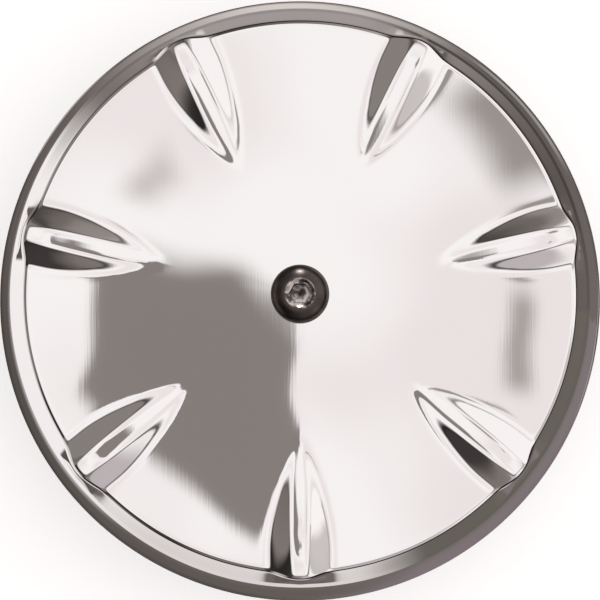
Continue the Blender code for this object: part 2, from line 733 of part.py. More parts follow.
def build():
    clear_scene()
    paints = make_materials()
    make_throttle_gasket(paints)
    make_breather_gaskets(paints)
    make_backplate(paints)
    make_velocity_stack(paints)
    make_stack_seal(paints)
    make_throttle_washers(paints)
    make_throttle_screws(paints)
    make_breather_washers(paints)
    make_breather_bolts(paints)
    make_top_plate_posts(paints)
    make_filter(paints)
    make_top_plate(paints)
    make_top_plate_screws(paints)
    make_cover_post(paints)
    make_cover_cushion(paints)
    make_cover(paints)
    make_bolt_washer(paints)
    make_cover_bolt(paints)


build()
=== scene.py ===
"""Round motorcycle air cleaner, built up from the throttle body side to the cover bolt."""

import math

import bmesh
import bpy
import numpy as np
from mathutils import Matrix, Vector


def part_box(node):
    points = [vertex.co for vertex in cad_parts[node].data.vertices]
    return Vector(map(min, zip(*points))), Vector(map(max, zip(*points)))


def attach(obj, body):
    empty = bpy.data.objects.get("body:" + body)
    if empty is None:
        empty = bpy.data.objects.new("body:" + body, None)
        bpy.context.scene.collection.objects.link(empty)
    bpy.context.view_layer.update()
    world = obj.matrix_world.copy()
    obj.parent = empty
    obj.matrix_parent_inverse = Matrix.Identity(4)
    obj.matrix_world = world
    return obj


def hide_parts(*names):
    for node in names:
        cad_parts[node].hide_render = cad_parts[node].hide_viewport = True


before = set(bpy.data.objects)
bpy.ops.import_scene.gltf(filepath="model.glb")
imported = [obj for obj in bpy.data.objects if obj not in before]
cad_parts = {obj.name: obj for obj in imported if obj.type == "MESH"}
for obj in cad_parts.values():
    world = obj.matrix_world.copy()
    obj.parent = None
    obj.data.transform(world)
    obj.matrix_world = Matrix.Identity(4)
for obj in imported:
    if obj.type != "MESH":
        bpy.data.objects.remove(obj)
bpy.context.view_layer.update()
mm = 0.001
inch = 25.4 * mm
full_turn = 2 * math.pi

# ---------------------------------------------------------------- gaskets
# Three flat gaskets of pressed fibre sheet, cut with a die. The large one seals the hub to
# the throttle body, and has a notch on each side for the small ones on the breather holes.


def linear(hex_colour):
    """A colour written as sRGB hex digits, turned to the linear values that shaders take."""
    shares = [int(hex_colour[i : i + 2], 16) / 255 for i in (0, 2, 4)]
    values = [s / 12.92 if s <= 0.04045 else ((s + 0.055) / 1.055) ** 2.4 for s in shares]
    return (*values, 1.0)


def add_node(tree, kind, inputs=(), **settings):
    """Adds one shader node with its settings; an input is a value or another node's output."""
    made = tree.nodes.new(kind)
    for name, value in settings.items():
        setattr(made, name, value)
    for name, value in dict(inputs).items():
        if isinstance(value, bpy.types.NodeSocket):
            tree.links.new(value, made.inputs[name])
        else:
            made.inputs[name].default_value = value
    return made


def new_finish(name, **values):
    """A material of one Principled shader, with its node tree and Object coordinates."""
    paint = bpy.data.materials.new(name)
    paint.use_nodes = True
    shader = paint.node_tree.nodes["Principled BSDF"]
    for key, value in values.items():
        shader.inputs[key.replace("_", " ").title()].default_value = value
    place = add_node(paint.node_tree, "ShaderNodeTexCoord").outputs["Object"]
    return paint, paint.node_tree, shader, place


def turn_profile(name, outline, steps, closed=True):
    """Draws an outline point by point in the XZ plane and spins it once round the Z axis."""
    bpy.ops.object.select_all(action="DESELECT")
    bpy.ops.mesh.primitive_plane_add(size=mm)
    piece = bpy.context.object
    piece.name = piece.data.name = name
    bpy.ops.object.mode_set(mode="EDIT")
    bpy.ops.mesh.merge(type="CENTER")
    bpy.ops.transform.translate(value=(outline[0][0], 0, outline[0][1]))
    for (r0, z0), (r1, z1) in zip(outline, outline[1:]):
        bpy.ops.mesh.extrude_vertices_move(TRANSFORM_OT_translate={"value": (r1 - r0, 0, z1 - z0)})
    if closed:
        drawn = bmesh.from_edit_mesh(piece.data)
        for vert in drawn.verts:
            vert.select = len(vert.link_edges) == 1
        drawn.select_flush(True)
        bmesh.update_edit_mesh(piece.data)
        bpy.ops.mesh.edge_face_add()
    bpy.ops.mesh.select_all(action="SELECT")
    bpy.ops.mesh.spin(steps=steps, angle=full_turn, center=(0, 0, 0), axis=(0, 0, 1))
    bpy.ops.mesh.select_all(action="SELECT")
    bpy.ops.mesh.remove_doubles(threshold=mm / 1000)
    bpy.ops.mesh.normals_make_consistent(inside=False)
    bpy.ops.object.mode_set(mode="OBJECT")
    return piece


def ring_outline(inner, outer, low, high, chamfer=0.15 * mm):
    """A flat ring's section with its four corners chamfered."""
    c = chamfer
    return [
        (inner, low + c),
        (inner + c, low),
        (outer - c, low),
        (outer, low + c),
        (outer, high - c),
        (outer - c, high),
        (inner + c, high),
        (inner, high - c),
    ]


def apply_all(piece):
    bpy.context.view_layer.objects.active = piece
    for change in list(piece.modifiers):
        bpy.ops.object.modifier_apply(modifier=change.name)


def machined(piece, places, radius, low, high, sides=48, kind="DIFFERENCE"):
    """Cuts an upright round or hexagon out of a piece at each place, or joins it on."""
    for x, y in places:
        bpy.ops.object.select_all(action="DESELECT")
        bpy.ops.mesh.primitive_cylinder_add(
            vertices=sides, radius=radius, depth=high - low, location=(x, y, (low + high) / 2)
        )
        tool = bpy.context.object
        change = piece.modifiers.new("tool", "BOOLEAN")
        change.operation = kind
        change.object = tool
        apply_all(piece)
        bpy.data.objects.remove(tool)


def smooth(piece, degrees=35.0):
    bpy.ops.object.select_all(action="DESELECT")
    piece.select_set(True)
    bpy.context.view_layer.objects.active = piece
    bpy.ops.object.shade_smooth_by_angle(angle=math.radians(degrees))


def fitted(piece, paint, slot, body, *nodes):
    """Gives a finished piece its material, and puts it in the place of its CAD nodes."""
    smooth(piece)
    piece.data.materials.clear()
    piece.data.materials.append(paint)
    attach(piece, body)
    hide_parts(*nodes)


def set_out(model, names, places, paint, slot, body, turns=(0, 0, 0)):
    """Puts a copy of a finished model, with a mesh of its own, in the place of each node."""
    for name, place, turn in zip(names, places, turns):
        copy = model.copy()
        copy.data = model.data.copy()
        copy.name = copy.data.name = name + "_fitted"
        copy.data.transform(Matrix.Translation((*place, 0)) @ Matrix.Rotation(turn, 4, "Z"))
        bpy.context.collection.objects.link(copy)
        fitted(copy, paint, slot, body, name)
    bpy.data.objects.remove(model)


def middle(node):
    low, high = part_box(node)
    return ((low.x + high.x) / 2, (low.y + high.y) / 2)


gasket_low, gasket_high = (corner.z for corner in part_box("throttle_gasket"))
gasket_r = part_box("throttle_gasket")[1].y
sides_lr = ("left", "right")
breathers = [middle(f"breather_bolt_{side}") for side in sides_lr]
throttle_screws = [middle(f"throttle_screw_{n}") for n in (1, 2, 3)]
quarter_r = 0.125 * inch
breather_r = 0.25 * inch
hub_bore_r = 24.8 * mm

# Compressed aramid fibre: matte green grey, with paler fibres about 1.5 mm long in it.
fibre, tree, shader, place = new_finish("gasket_fibre_sheet", roughness=0.88)
flecks = add_node(tree, "ShaderNodeTexNoise", {"Vector": place, "Scale": 900.0, "Detail": 6.0})
spread = add_node(
    tree,
    "ShaderNodeMapRange",
    {"Value": flecks.outputs["Fac"], "From Min": 0.42, "From Max": 0.66},
)
tint = add_node(
    tree,
    "ShaderNodeMix",
    {"Factor": spread.outputs[0], 6: linear("2c332f"), 7: linear("57605a")},
    data_type="RGBA",
)
tree.links.new(tint.outputs[2], shader.inputs["Base Color"])
relief = add_node(tree, "ShaderNodeBump", {"Height": flecks.outputs["Fac"], "Distance": 0.05 * mm})
tree.links.new(relief.outputs[0], shader.inputs["Normal"])

outline = ring_outline(hub_bore_r + 0.2 * mm, gasket_r, gasket_low, gasket_high, 0.08 * mm)
gasket = turn_profile("throttle_gasket_sheet", outline, 120)
cut_low, cut_high = gasket_low - mm, gasket_high + mm
machined(gasket, throttle_screws, quarter_r + 0.4 * mm, cut_low, cut_high)
machined(gasket, breathers, 10.8 * mm, cut_low, cut_high, sides=72)
fitted(gasket, fibre, "gasket_fibre", "base", "throttle_gasket")

outline = ring_outline(breather_r + 0.4 * mm, 10.0 * mm, gasket_low, gasket_high, 0.08 * mm)
model = turn_profile("breather_gasket", outline, 72)
names = [f"breather_gasket_{side}" for side in sides_lr]
set_out(model, names, breathers, fibre, "gasket_fibre", "base")

# ---------------------------------------------------------------- backplate
# A die casting in aluminium: a flat web with a raised lip that locates the filter, twelve
# ribs behind, a thick hub, and bosses for the breather bolts and posts. Its rear faces,
# bore and bosses are machined, and the rest keeps the skin of the die.

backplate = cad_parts["backplate"]
plate_low, plate_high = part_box("backplate")
cast, tree, shader, place = new_finish("die_cast_aluminium", metallic=1.0, roughness=0.46)
height = add_node(tree, "ShaderNodeSeparateXYZ", {"Vector": place}).outputs["Z"]
hub_face = add_node(
    tree,
    "ShaderNodeMath",
    {0: height, 1: plate_low.z + 0.05 * mm},
    operation="LESS_THAN",
).outputs[0]
# The die's skin: grains of 0.6 mm and clouds of 12 mm, a little darker in the hollows.
grain = add_node(tree, "ShaderNodeTexNoise", {"Vector": place, "Scale": 1700.0, "Detail": 3.0})
clouds = add_node(tree, "ShaderNodeTexNoise", {"Vector": place, "Scale": 80.0, "Detail": 4.0})
spread = add_node(
    tree,
    "ShaderNodeMapRange",
    {"Value": clouds.outputs["Fac"], "From Min": 0.3, "From Max": 0.7},
)
tint = add_node(
    tree,
    "ShaderNodeMix",
    {"Factor": spread.outputs[0], 6: linear("8f8f8e"), 7: linear("b4b4b3")},
    data_type="RGBA",
)
tree.links.new(tint.outputs[2], shader.inputs["Base Color"])
# Facing rings 0.5 mm apart on the machined hub.
rings = add_node(
    tree,
    "ShaderNodeTexWave",
    {"Vector": place, "Scale": 0.314 / 0.5 / mm, "Distortion": 0.4},
    wave_type="RINGS",
    rings_direction="Z",
)
skin = add_node(
    tree,
    "ShaderNodeMix",
    {"Factor": hub_face, 2: grain.outputs["Fac"], 3: rings.outputs["Fac"]},
)
relief = add_node(tree, "ShaderNodeBump", {"Height": skin.outputs[0], "Distance": 0.035 * mm})
tree.links.new(relief.outputs[0], shader.inputs["Normal"])
gloss = add_node(
    tree,
    "ShaderNodeMapRange",
    {"Value": hub_face, "To Min": 0.5, "To Max": 0.24},
)
tree.links.new(gloss.outputs[0], shader.inputs["Roughness"])
backplate.data.materials.clear()
backplate.data.materials.append(cast)

# ---------------------------------------------------------------- velocity stack
# A bell mouth turned from aluminium and polished. It stands in the hub's bore on a rubber
# ring and smooths the air's way into the throttle body.


def arc(centre, radius, start, stop, steps):
    """Points of an arc in the outline's plane; angles in degrees from the outward side."""
    points = []
    for i in range(steps + 1):
        angle = math.radians(start + (stop - start) * i / steps)
        points.append(
            (centre[0] + radius * math.cos(angle), centre[1] + radius * math.sin(angle))
        )
    return points


stack_low, stack_high = (corner.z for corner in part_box("velocity_stack"))
stack_bore_r = 23.0 * mm
stack_wall = 1.5 * mm
flare_r = 7.0 * mm
bell = (stack_bore_r + flare_r, stack_high - flare_r)
inside = arc(bell, flare_r, 180, 90, 14)
lip = [(bell[0], stack_high - 0.45 * mm), (bell[0] - 0.05 * mm, stack_high - mm)]
outside = arc(bell, flare_r - stack_wall, 90, 180, 12)
foot = [(stack_bore_r + stack_wall, stack_low + 0.3 * mm), (stack_bore_r + 1.2 * mm, stack_low)]
lead_in = [(stack_bore_r + 0.4 * mm, stack_low), (stack_bore_r, stack_low + 0.5 * mm)]
stack = turn_profile("stack_bell", inside + lip + outside + foot + lead_in, 128)

# Turned and polished aluminium: bright, with tool rings 0.6 mm apart that only just show.
turned_metal, tree, shader, place = new_finish(
    "polished_turned_aluminium", metallic=1.0, roughness=0.2
)
shader.inputs["Base Color"].default_value = linear("dcdcdd")
rings = add_node(
    tree,
    "ShaderNodeTexWave",
    {"Vector": place, "Scale": 0.314 / 0.6 / mm, "Distortion": 0.3, "Detail": 1.0},
    wave_type="BANDS",
    bands_direction="Z",
)
relief = add_node(tree, "ShaderNodeBump", {"Height": rings.outputs["Fac"], "Distance": 0.01 * mm})
tree.links.new(relief.outputs[0], shader.inputs["Normal"])
fitted(stack, turned_metal, "turned_aluminium", "base", "velocity_stack")

# The ring that holds the stack up off the plate: a square-section moulding in black rubber,
# with a parting line round its edge.
seal_low, seal_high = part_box("stack_seal_ring")
seal_inner = stack_bore_r + stack_wall + 0.3 * mm
waist_z = (seal_low.z + seal_high.z) / 2
outline = (
    arc((seal_high.x - 0.6 * mm, seal_low.z + 0.6 * mm), 0.6 * mm, -90, 0, 4)
    + [(seal_high.x - 0.12 * mm, waist_z)]
    + arc((seal_high.x - 0.6 * mm, seal_high.z - 0.6 * mm), 0.6 * mm, 0, 90, 4)
    + arc((seal_inner + 0.5 * mm, seal_high.z - 0.5 * mm), 0.5 * mm, 90, 180, 4)
    + arc((seal_inner + 0.5 * mm, seal_low.z + 0.5 * mm), 0.5 * mm, 180, 270, 4)
)
stack_seal = turn_profile("stack_seal_moulding", outline, 128)
# Moulded nitrile rubber: dull black, with a fine even grain of 0.3 mm.
rubber, tree, shader, place = new_finish("moulded_nitrile_rubber", roughness=0.62)
grain = add_node(tree, "ShaderNodeTexNoise", {"Vector": place, "Scale": 3000.0, "Detail": 2.0})
dust = add_node(tree, "ShaderNodeTexNoise", {"Vector": place, "Scale": 130.0, "Detail": 5.0})
spread = add_node(
    tree,
    "ShaderNodeMapRange",
    {"Value": dust.outputs["Fac"], "From Min": 0.35, "From Max": 0.75},
)
tint = add_node(
    tree,
    "ShaderNodeMix",
    {"Factor": spread.outputs[0], 6: linear("141414"), 7: linear("242322")},
    data_type="RGBA",
)
tree.links.new(tint.outputs[2], shader.inputs["Base Color"])
relief = add_node(tree, "ShaderNodeBump", {"Height": grain.outputs["Fac"], "Distance": 0.03 * mm})
tree.links.new(relief.outputs[0], shader.inputs["Normal"])
fitted(stack_seal, rubber, "rubber", "base", "stack_seal_ring")

# ---------------------------------------------------------------- throttle screws
# Three 1/4-20 socket cap screws with flat washers hold the backplate to the throttle body.
# They are cold headed in steel, with a knurled head, and zinc plated like the washers.


def shank_rows(low, high, radius, pitch, plain=0.0):
    """The outline of a threaded shank, from its chamfered tip up, with eight rows a turn."""
    rows = [(radius * 0.55, low), (radius * 0.72, low + 0.12 * mm)]
    thread_top = high - plain
    count = round((thread_top - low - 0.6 * mm) / pitch * 8)
    for i in range(count + 1):
        rows.append((radius, low + 0.5 * mm + (thread_top - low - 0.5 * mm) * i / count))
    return rows + [(radius, high)]


def cut_thread(piece, low, high, radius, pitch):
    """Cuts a V thread into a shank by moving each of its vertices in, along one helix."""
    depth = 0.55 * pitch
    for vert in piece.data.vertices:
        out = math.hypot(vert.co.x, vert.co.y)
        if abs(out - radius) > 0.01 * mm or not low <= vert.co.z <= high:
            continue
        turns = vert.co.z / pitch - math.atan2(vert.co.y, vert.co.x) / full_turn
        groove = 1.0 - abs(2.0 * (turns % 1.0) - 1.0)
        ends = min(1.0, (vert.co.z - low) / pitch + 0.4, (high - vert.co.z) / pitch)
        shrink = (radius - depth * groove * max(ends, 0.0)) / out
        vert.co.x *= shrink
        vert.co.y *= shrink


screw_low, screw_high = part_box("throttle_screw_1")
seat = screw_high.z - 0.25 * inch
head_r = 0.1875 * inch
quarter_pitch = 1.27 * mm
outline = (
    [(0, screw_low.z)]
    + shank_rows(screw_low.z, seat - 0.35 * mm, quarter_r, quarter_pitch, plain=6 * mm)
    + [(quarter_r + 0.25 * mm, seat), (head_r - 0.25 * mm, seat), (head_r, seat + 0.25 * mm)]
    + [(head_r, seat + 0.9 * mm), (head_r - 0.12 * mm, seat + mm)]
    + [(head_r - 0.12 * mm, screw_high.z - 1.1 * mm), (head_r, screw_high.z - mm)]
    + arc((head_r - 0.7 * mm, screw_high.z - 0.7 * mm), 0.7 * mm, 0, 90, 5)
    + [(0, screw_high.z)]
)
model = turn_profile("socket_cap_screw", outline, 72, closed=False)
cut_thread(model, screw_low.z, seat - 6 * mm, quarter_r, quarter_pitch)
# The knurl: every other column of the head's waist stands out.
for vert in model.data.vertices:
    out = math.hypot(vert.co.x, vert.co.y)
    if seat + 0.95 * mm < vert.co.z < screw_high.z - 1.05 * mm and out > head_r - 0.2 * mm:
        column = round(math.atan2(vert.co.y, vert.co.x) / full_turn * 72)
        if column % 2:
            vert.co.x *= head_r / out
            vert.co.y *= head_r / out
socket_r = 0.1875 * inch / 2 / math.cos(math.pi / 6)
machined(model, [(0, 0)], socket_r, screw_high.z - 3.2 * mm, screw_high.z + mm, sides=6)

# Bright zinc plate on steel: pale, cool, with soft blue and yellow clouds 5 mm wide.
zinc, tree, shader, place = new_finish("bright_zinc_plate", metallic=1.0, roughness=0.28)
clouds = add_node(tree, "ShaderNodeTexNoise", {"Vector": place, "Scale": 200.0, "Detail": 3.0})
spread = add_node(
    tree,
    "ShaderNodeMapRange",
    {"Value": clouds.outputs["Fac"], "From Min": 0.35, "From Max": 0.65},
)
tint = add_node(
    tree,
    "ShaderNodeMix",
    {"Factor": spread.outputs[0], 6: linear("b9bcc2"), 7: linear("cfccc0")},
    data_type="RGBA",
)
tree.links.new(tint.outputs[2], shader.inputs["Base Color"])
grain = add_node(tree, "ShaderNodeTexNoise", {"Vector": place, "Scale": 2500.0, "Detail": 2.0})
relief = add_node(tree, "ShaderNodeBump", {"Height": grain.outputs["Fac"], "Distance": 0.008 * mm})
tree.links.new(relief.outputs[0], shader.inputs["Normal"])
names = [f"throttle_screw_{n}" for n in (1, 2, 3)]
set_out(model, names, throttle_screws, zinc, "zinc_steel", "base")

washer_low, washer_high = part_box("throttle_screw_washer_1")
outline = ring_outline(quarter_r + 0.3 * mm, 5.6 * mm, washer_low.z, washer_high.z, 0.2 * mm)
model = turn_profile("flat_washer", outline, 72)
names = [f"throttle_screw_washer_{n}" for n in (1, 2, 3)]
set_out(model, names, throttle_screws, zinc, "zinc_steel", "base")

# ---------------------------------------------------------------- breather bolts
# Two hollow 1/2-13 bolts go into the cylinder heads and let the crankcase breathe into the
# filter. Each is turned from hexagon steel, zinc plated, and seals on a soft copper washer.

bolt_low, bolt_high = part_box("breather_bolt_left")
seat = bolt_high.z - 7.5 * mm
collar_r = 9.6 * mm
collar_top = seat + 1.5 * mm
coarse_pitch = inch / 13
outline = (
    [(0, bolt_low.z)]
    + shank_rows(bolt_low.z, seat - 0.4 * mm, breather_r, coarse_pitch, plain=4 * mm)
    + [(breather_r + 0.3 * mm, seat), (collar_r - 0.3 * mm, seat), (collar_r, seat + 0.3 * mm)]
    + arc((collar_r - 0.4 * mm, collar_top - 0.4 * mm), 0.4 * mm, 0, 90, 4)
    + [(0, collar_top)]
)
model = turn_profile("breather_bolt", outline, 72, closed=False)
cut_thread(model, bolt_low.z, seat - 4 * mm, breather_r, coarse_pitch)
hex_r = 0.6875 * inch / 2 / math.cos(math.pi / 6)
machined(model, [(0, 0)], hex_r, seat + 0.8 * mm, bolt_high.z, sides=6, kind="UNION")
# The turned chamfer that takes the hexagon's corners off.
cone = [(0, seat + 0.4 * mm), (hex_r + mm, seat + 0.4 * mm), (hex_r + mm, bolt_high.z - 1.2 * mm)]
cone += [(hex_r - 1.1 * mm, bolt_high.z), (0, bolt_high.z)]
keep = turn_profile("chamfer", cone, 72, closed=False)
machined(keep, [(0, 0)], breather_r + 0.1 * mm, bolt_low.z - mm, seat + mm, kind="UNION")
trim = model.modifiers.new("chamfer", "BOOLEAN")
trim.operation = "INTERSECT"
trim.object = keep
apply_all(model)
bpy.data.objects.remove(keep)
machined(model, [(0, 0)], 2.75 * mm, bolt_low.z - mm, bolt_high.z + mm, sides=40)
set_out(
    model, [f"breather_bolt_{side}" for side in sides_lr], breathers, zinc, "zinc_steel", "base"
)

washer_low, washer_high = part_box("breather_washer_left")
outline = ring_outline(breather_r + 0.3 * mm, 10.0 * mm, washer_low.z, washer_high.z, 0.35 * mm)
model = turn_profile("crush_washer", outline, 72)
# Annealed copper: warm and satin, darker where it has been handled.
copper, tree, shader, place = new_finish("annealed_copper", metallic=1.0, roughness=0.34)
tarnish = add_node(tree, "ShaderNodeTexNoise", {"Vector": place, "Scale": 260.0, "Detail": 4.0})
spread = add_node(
    tree,
    "ShaderNodeMapRange",
    {"Value": tarnish.outputs["Fac"], "From Min": 0.35, "From Max": 0.65},
)
tint = add_node(
    tree,
    "ShaderNodeMix",
    {"Factor": spread.outputs[0], 6: linear("9c5f42"), 7: linear("d08a63")},
    data_type="RGBA",
)
tree.links.new(tint.outputs[2], shader.inputs["Base Color"])
relief = add_node(tree, "ShaderNodeBump", {"Height": tarnish.outputs["Fac"], "Distance": 0.02 * mm})
tree.links.new(relief.outputs[0], shader.inputs["Normal"])
names = [f"breather_washer_{side}" for side in sides_lr]
set_out(model, names, breathers, copper, "copper", "base")

# ---------------------------------------------------------------- top plate posts
# Three posts of hexagon steel bar screw into the backplate and carry the top plate. Each
# has a stud below, a tapped hole above, and turned chamfers at both ends.

post_low, post_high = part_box("top_plate_post_1")
hex_low = plate_high.z - 3.0 * mm + 0.3 * mm
bar_r = 11.0 * mm / 2 / math.cos(math.pi / 6)
bpy.ops.object.select_all(action="DESELECT")
bpy.ops.mesh.primitive_cylinder_add(
    vertices=6,
    radius=bar_r,
    depth=post_high.z - hex_low,
    location=(0, 0, (hex_low + post_high.z) / 2),
)
model = bpy.context.object
model.name = "hexagon_post"
bpy.ops.object.transform_apply()
bar = 11.0 * mm / 2 - 0.1 * mm
outline = [
    (0, hex_low),
    (bar, hex_low),
    (bar_r + 0.2 * mm, hex_low + 0.7 * mm),
    (bar_r + 0.2 * mm, post_high.z - 0.7 * mm),
    (bar, post_high.z),
    (0, post_high.z),
]
keep = turn_profile("chamfer", outline, 72, closed=False)
trim = model.modifiers.new("chamfer", "BOOLEAN")
trim.operation = "INTERSECT"
trim.object = keep
apply_all(model)
bpy.data.objects.remove(keep)
stud_r = 3.1 * mm
stud = turn_profile(
    "stud",
    [(0, post_low.z)]
    + shank_rows(post_low.z, hex_low + mm, stud_r, quarter_pitch, plain=2 * mm)
    + [(0, hex_low + mm)],
    48,
    closed=False,
)
cut_thread(stud, post_low.z, hex_low - mm, stud_r, quarter_pitch)
join = model.modifiers.new("stud", "BOOLEAN")
join.operation = "UNION"
join.object = stud
apply_all(model)
bpy.data.objects.remove(stud)
machined(model, [(0, 0)], 3.5 * mm, post_high.z - 16 * mm, post_high.z + mm, sides=40)
names = [f"top_plate_post_{n}" for n in (1, 2, 3)]
posts = [middle(name) for name in names]
turns = [math.atan2(y, x) for x, y in posts]
set_out(model, names, posts, zinc, "zinc_steel", "base", turns)

# ---------------------------------------------------------------- filter seals
# Soft polyurethane is poured round both ends of the media and sets into the end rings.
# Two sealing beads stand on the outer face of each, and the pour leaves small bubbles.

seal_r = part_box("filter_lower_seal")[1].x
seal_inner = 59.5 * mm
# Cast polyurethane: black with a soft sheen, and pinholes up to 0.8 mm wide.
urethane, tree, shader, place = new_finish("cast_polyurethane", roughness=0.48)
shader.inputs["Base Color"].default_value = linear("1d1d20")
pits = add_node(tree, "ShaderNodeTexVoronoi", {"Vector": place, "Scale": 420.0})
shown = add_node(
    tree,
    "ShaderNodeMapRange",
    {"Value": pits.outputs["Distance"], "From Min": 0.10, "From Max": 0.22},
    interpolation_type="SMOOTHSTEP",
)
relief = add_node(tree, "ShaderNodeBump", {"Height": shown.outputs[0], "Distance": 0.08 * mm})
tree.links.new(relief.outputs[0], shader.inputs["Normal"])
haze = add_node(tree, "ShaderNodeTexNoise", {"Vector": place, "Scale": 150.0, "Detail": 3.0})
gloss = add_node(
    tree,
    "ShaderNodeMapRange",
    {"Value": haze.outputs["Fac"], "To Min": 0.36, "To Max": 0.62},
)
tree.links.new(gloss.outputs[0], shader.inputs["Roughness"])
for name, way in (("filter_lower_seal", 1), ("filter_upper_seal", -1)):
    low, high = (corner.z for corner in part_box(name))
    # The sealing face is at the bottom of the lower ring and at the top of the upper one.
    face, back = (low, high) if way > 0 else (high, low)
    rows = [(seal_inner + 0.4 * mm, face + way * 0.9 * mm)]
    for bead_r in (seal_inner + 4.5 * mm, seal_r - 4.5 * mm):
        rows.append((bead_r - 1.6 * mm, face + way * 0.9 * mm))
        for degrees in range(165, 0, -25):
            turn = math.radians(degrees)
            depth = 0.9 * mm * (1.0 - math.sin(turn))
            rows.append((bead_r + 1.4 * mm * math.cos(turn), face + way * depth))
        rows.append((bead_r + 1.6 * mm, face + way * 0.9 * mm))
    rows += [(seal_r - 0.8 * mm, face + way * 0.9 * mm), (seal_r, face + way * 1.7 * mm)]
    rows += [(seal_r, back - way * 1.2 * mm), (seal_r - 0.35 * mm, back - way * 0.35 * mm)]
    rows += [(seal_r - 1.2 * mm, back), (seal_inner + mm, back)]
    rows += [(seal_inner + 0.3 * mm, back - way * 0.3 * mm), (seal_inner, back - way * mm)]
    rows += [(seal_inner, face + way * 1.3 * mm)]
    end_ring = turn_profile(name + "_moulding", rows, 144)
    fitted(end_ring, urethane, "polyurethane", "filter", name)

# ---------------------------------------------------------------- filter media
# Oiled cotton gauze is folded into ninety pleats, between two sleeves of woven wire that
# are coated against rust. The ends are set in the polyurethane rings.

media_low, media_high = (corner.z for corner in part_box("filter_pleats"))
crest_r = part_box("filter_outer_mesh")[1].x - 1.2 * mm
root_r = 62.1 * mm
pleat_count = 90
fold_points = 8
bpy.ops.object.select_all(action="DESELECT")
bpy.ops.mesh.primitive_circle_add(
    vertices=pleat_count * fold_points, radius=crest_r, location=(0, 0, 0)
)
pleats = bpy.context.object
pleats.name = pleats.data.name = "folded_gauze"
bpy.ops.object.mode_set(mode="EDIT")
bpy.ops.transform.translate(value=(0, 0, media_low))
rows = 10
for i in range(rows):
    step = (media_high - media_low) / rows
    bpy.ops.mesh.extrude_region_move(TRANSFORM_OT_translate={"value": (0, 0, step)})
bpy.ops.object.mode_set(mode="OBJECT")
paper = 0.7 * mm
for vert in pleats.data.vertices:
    angle = math.atan2(vert.co.y, vert.co.x)
    fold = (angle / full_turn * pleat_count) % 1.0
    wave = abs(2.0 * fold - 1.0)
    rounded = 0.5 - 0.5 * math.cos(math.pi * wave)
    share = 0.72 * wave + 0.28 * rounded
    ripple = 0.35 * mm * math.sin(vert.co.z / (5.1 * mm) + 9 * angle) * (1.0 - share) * share * 4
    radius = root_r + paper + (crest_r - root_r - 2 * paper) * share
    angle += ripple / radius
    vert.co.x, vert.co.y = radius * math.cos(angle), radius * math.sin(angle)
gauze = pleats.modifiers.new("gauze", "SOLIDIFY")
gauze.thickness = 0.6 * mm
gauze.offset = 0.0
apply_all(pleats)

# Cotton gauze with red filter oil: matte, threads 0.5 mm apart, oil darker in patches.
cotton, tree, shader, place = new_finish("oiled_cotton_gauze", roughness=0.8, sheen_weight=0.25)
weft = add_node(
    tree,
    "ShaderNodeTexWave",
    {"Vector": place, "Scale": 0.314 / 0.5 / mm, "Distortion": 1.2, "Detail Scale": 2.0},
    bands_direction="Z",
)
warp = add_node(
    tree,
    "ShaderNodeTexWave",
    {"Vector": place, "Scale": 0.314 / 0.5 / mm, "Distortion": 0.8},
    wave_type="RINGS",
    rings_direction="Z",
)
threads = add_node(
    tree,
    "ShaderNodeMath",
    {0: weft.outputs["Fac"], 1: warp.outputs["Fac"]},
    operation="MAXIMUM",
)
patches = add_node(tree, "ShaderNodeTexNoise", {"Vector": place, "Scale": 90.0, "Detail": 5.0})
spread = add_node(
    tree,
    "ShaderNodeMapRange",
    {"Value": patches.outputs["Fac"], "From Min": 0.32, "From Max": 0.68},
)
tint = add_node(
    tree,
    "ShaderNodeMix",
    {"Factor": spread.outputs[0], 6: linear("5c1216"), 7: linear("a32a2b")},
    data_type="RGBA",
)
tree.links.new(tint.outputs[2], shader.inputs["Base Color"])
relief = add_node(tree, "ShaderNodeBump", {"Height": threads.outputs[0], "Distance": 0.12 * mm})
tree.links.new(relief.outputs[0], shader.inputs["Normal"])
fitted(pleats, cotton, "cotton_gauze", "filter", "filter_pleats")

wire_r = 0.19 * mm
wire_pitch = 2.5 * mm
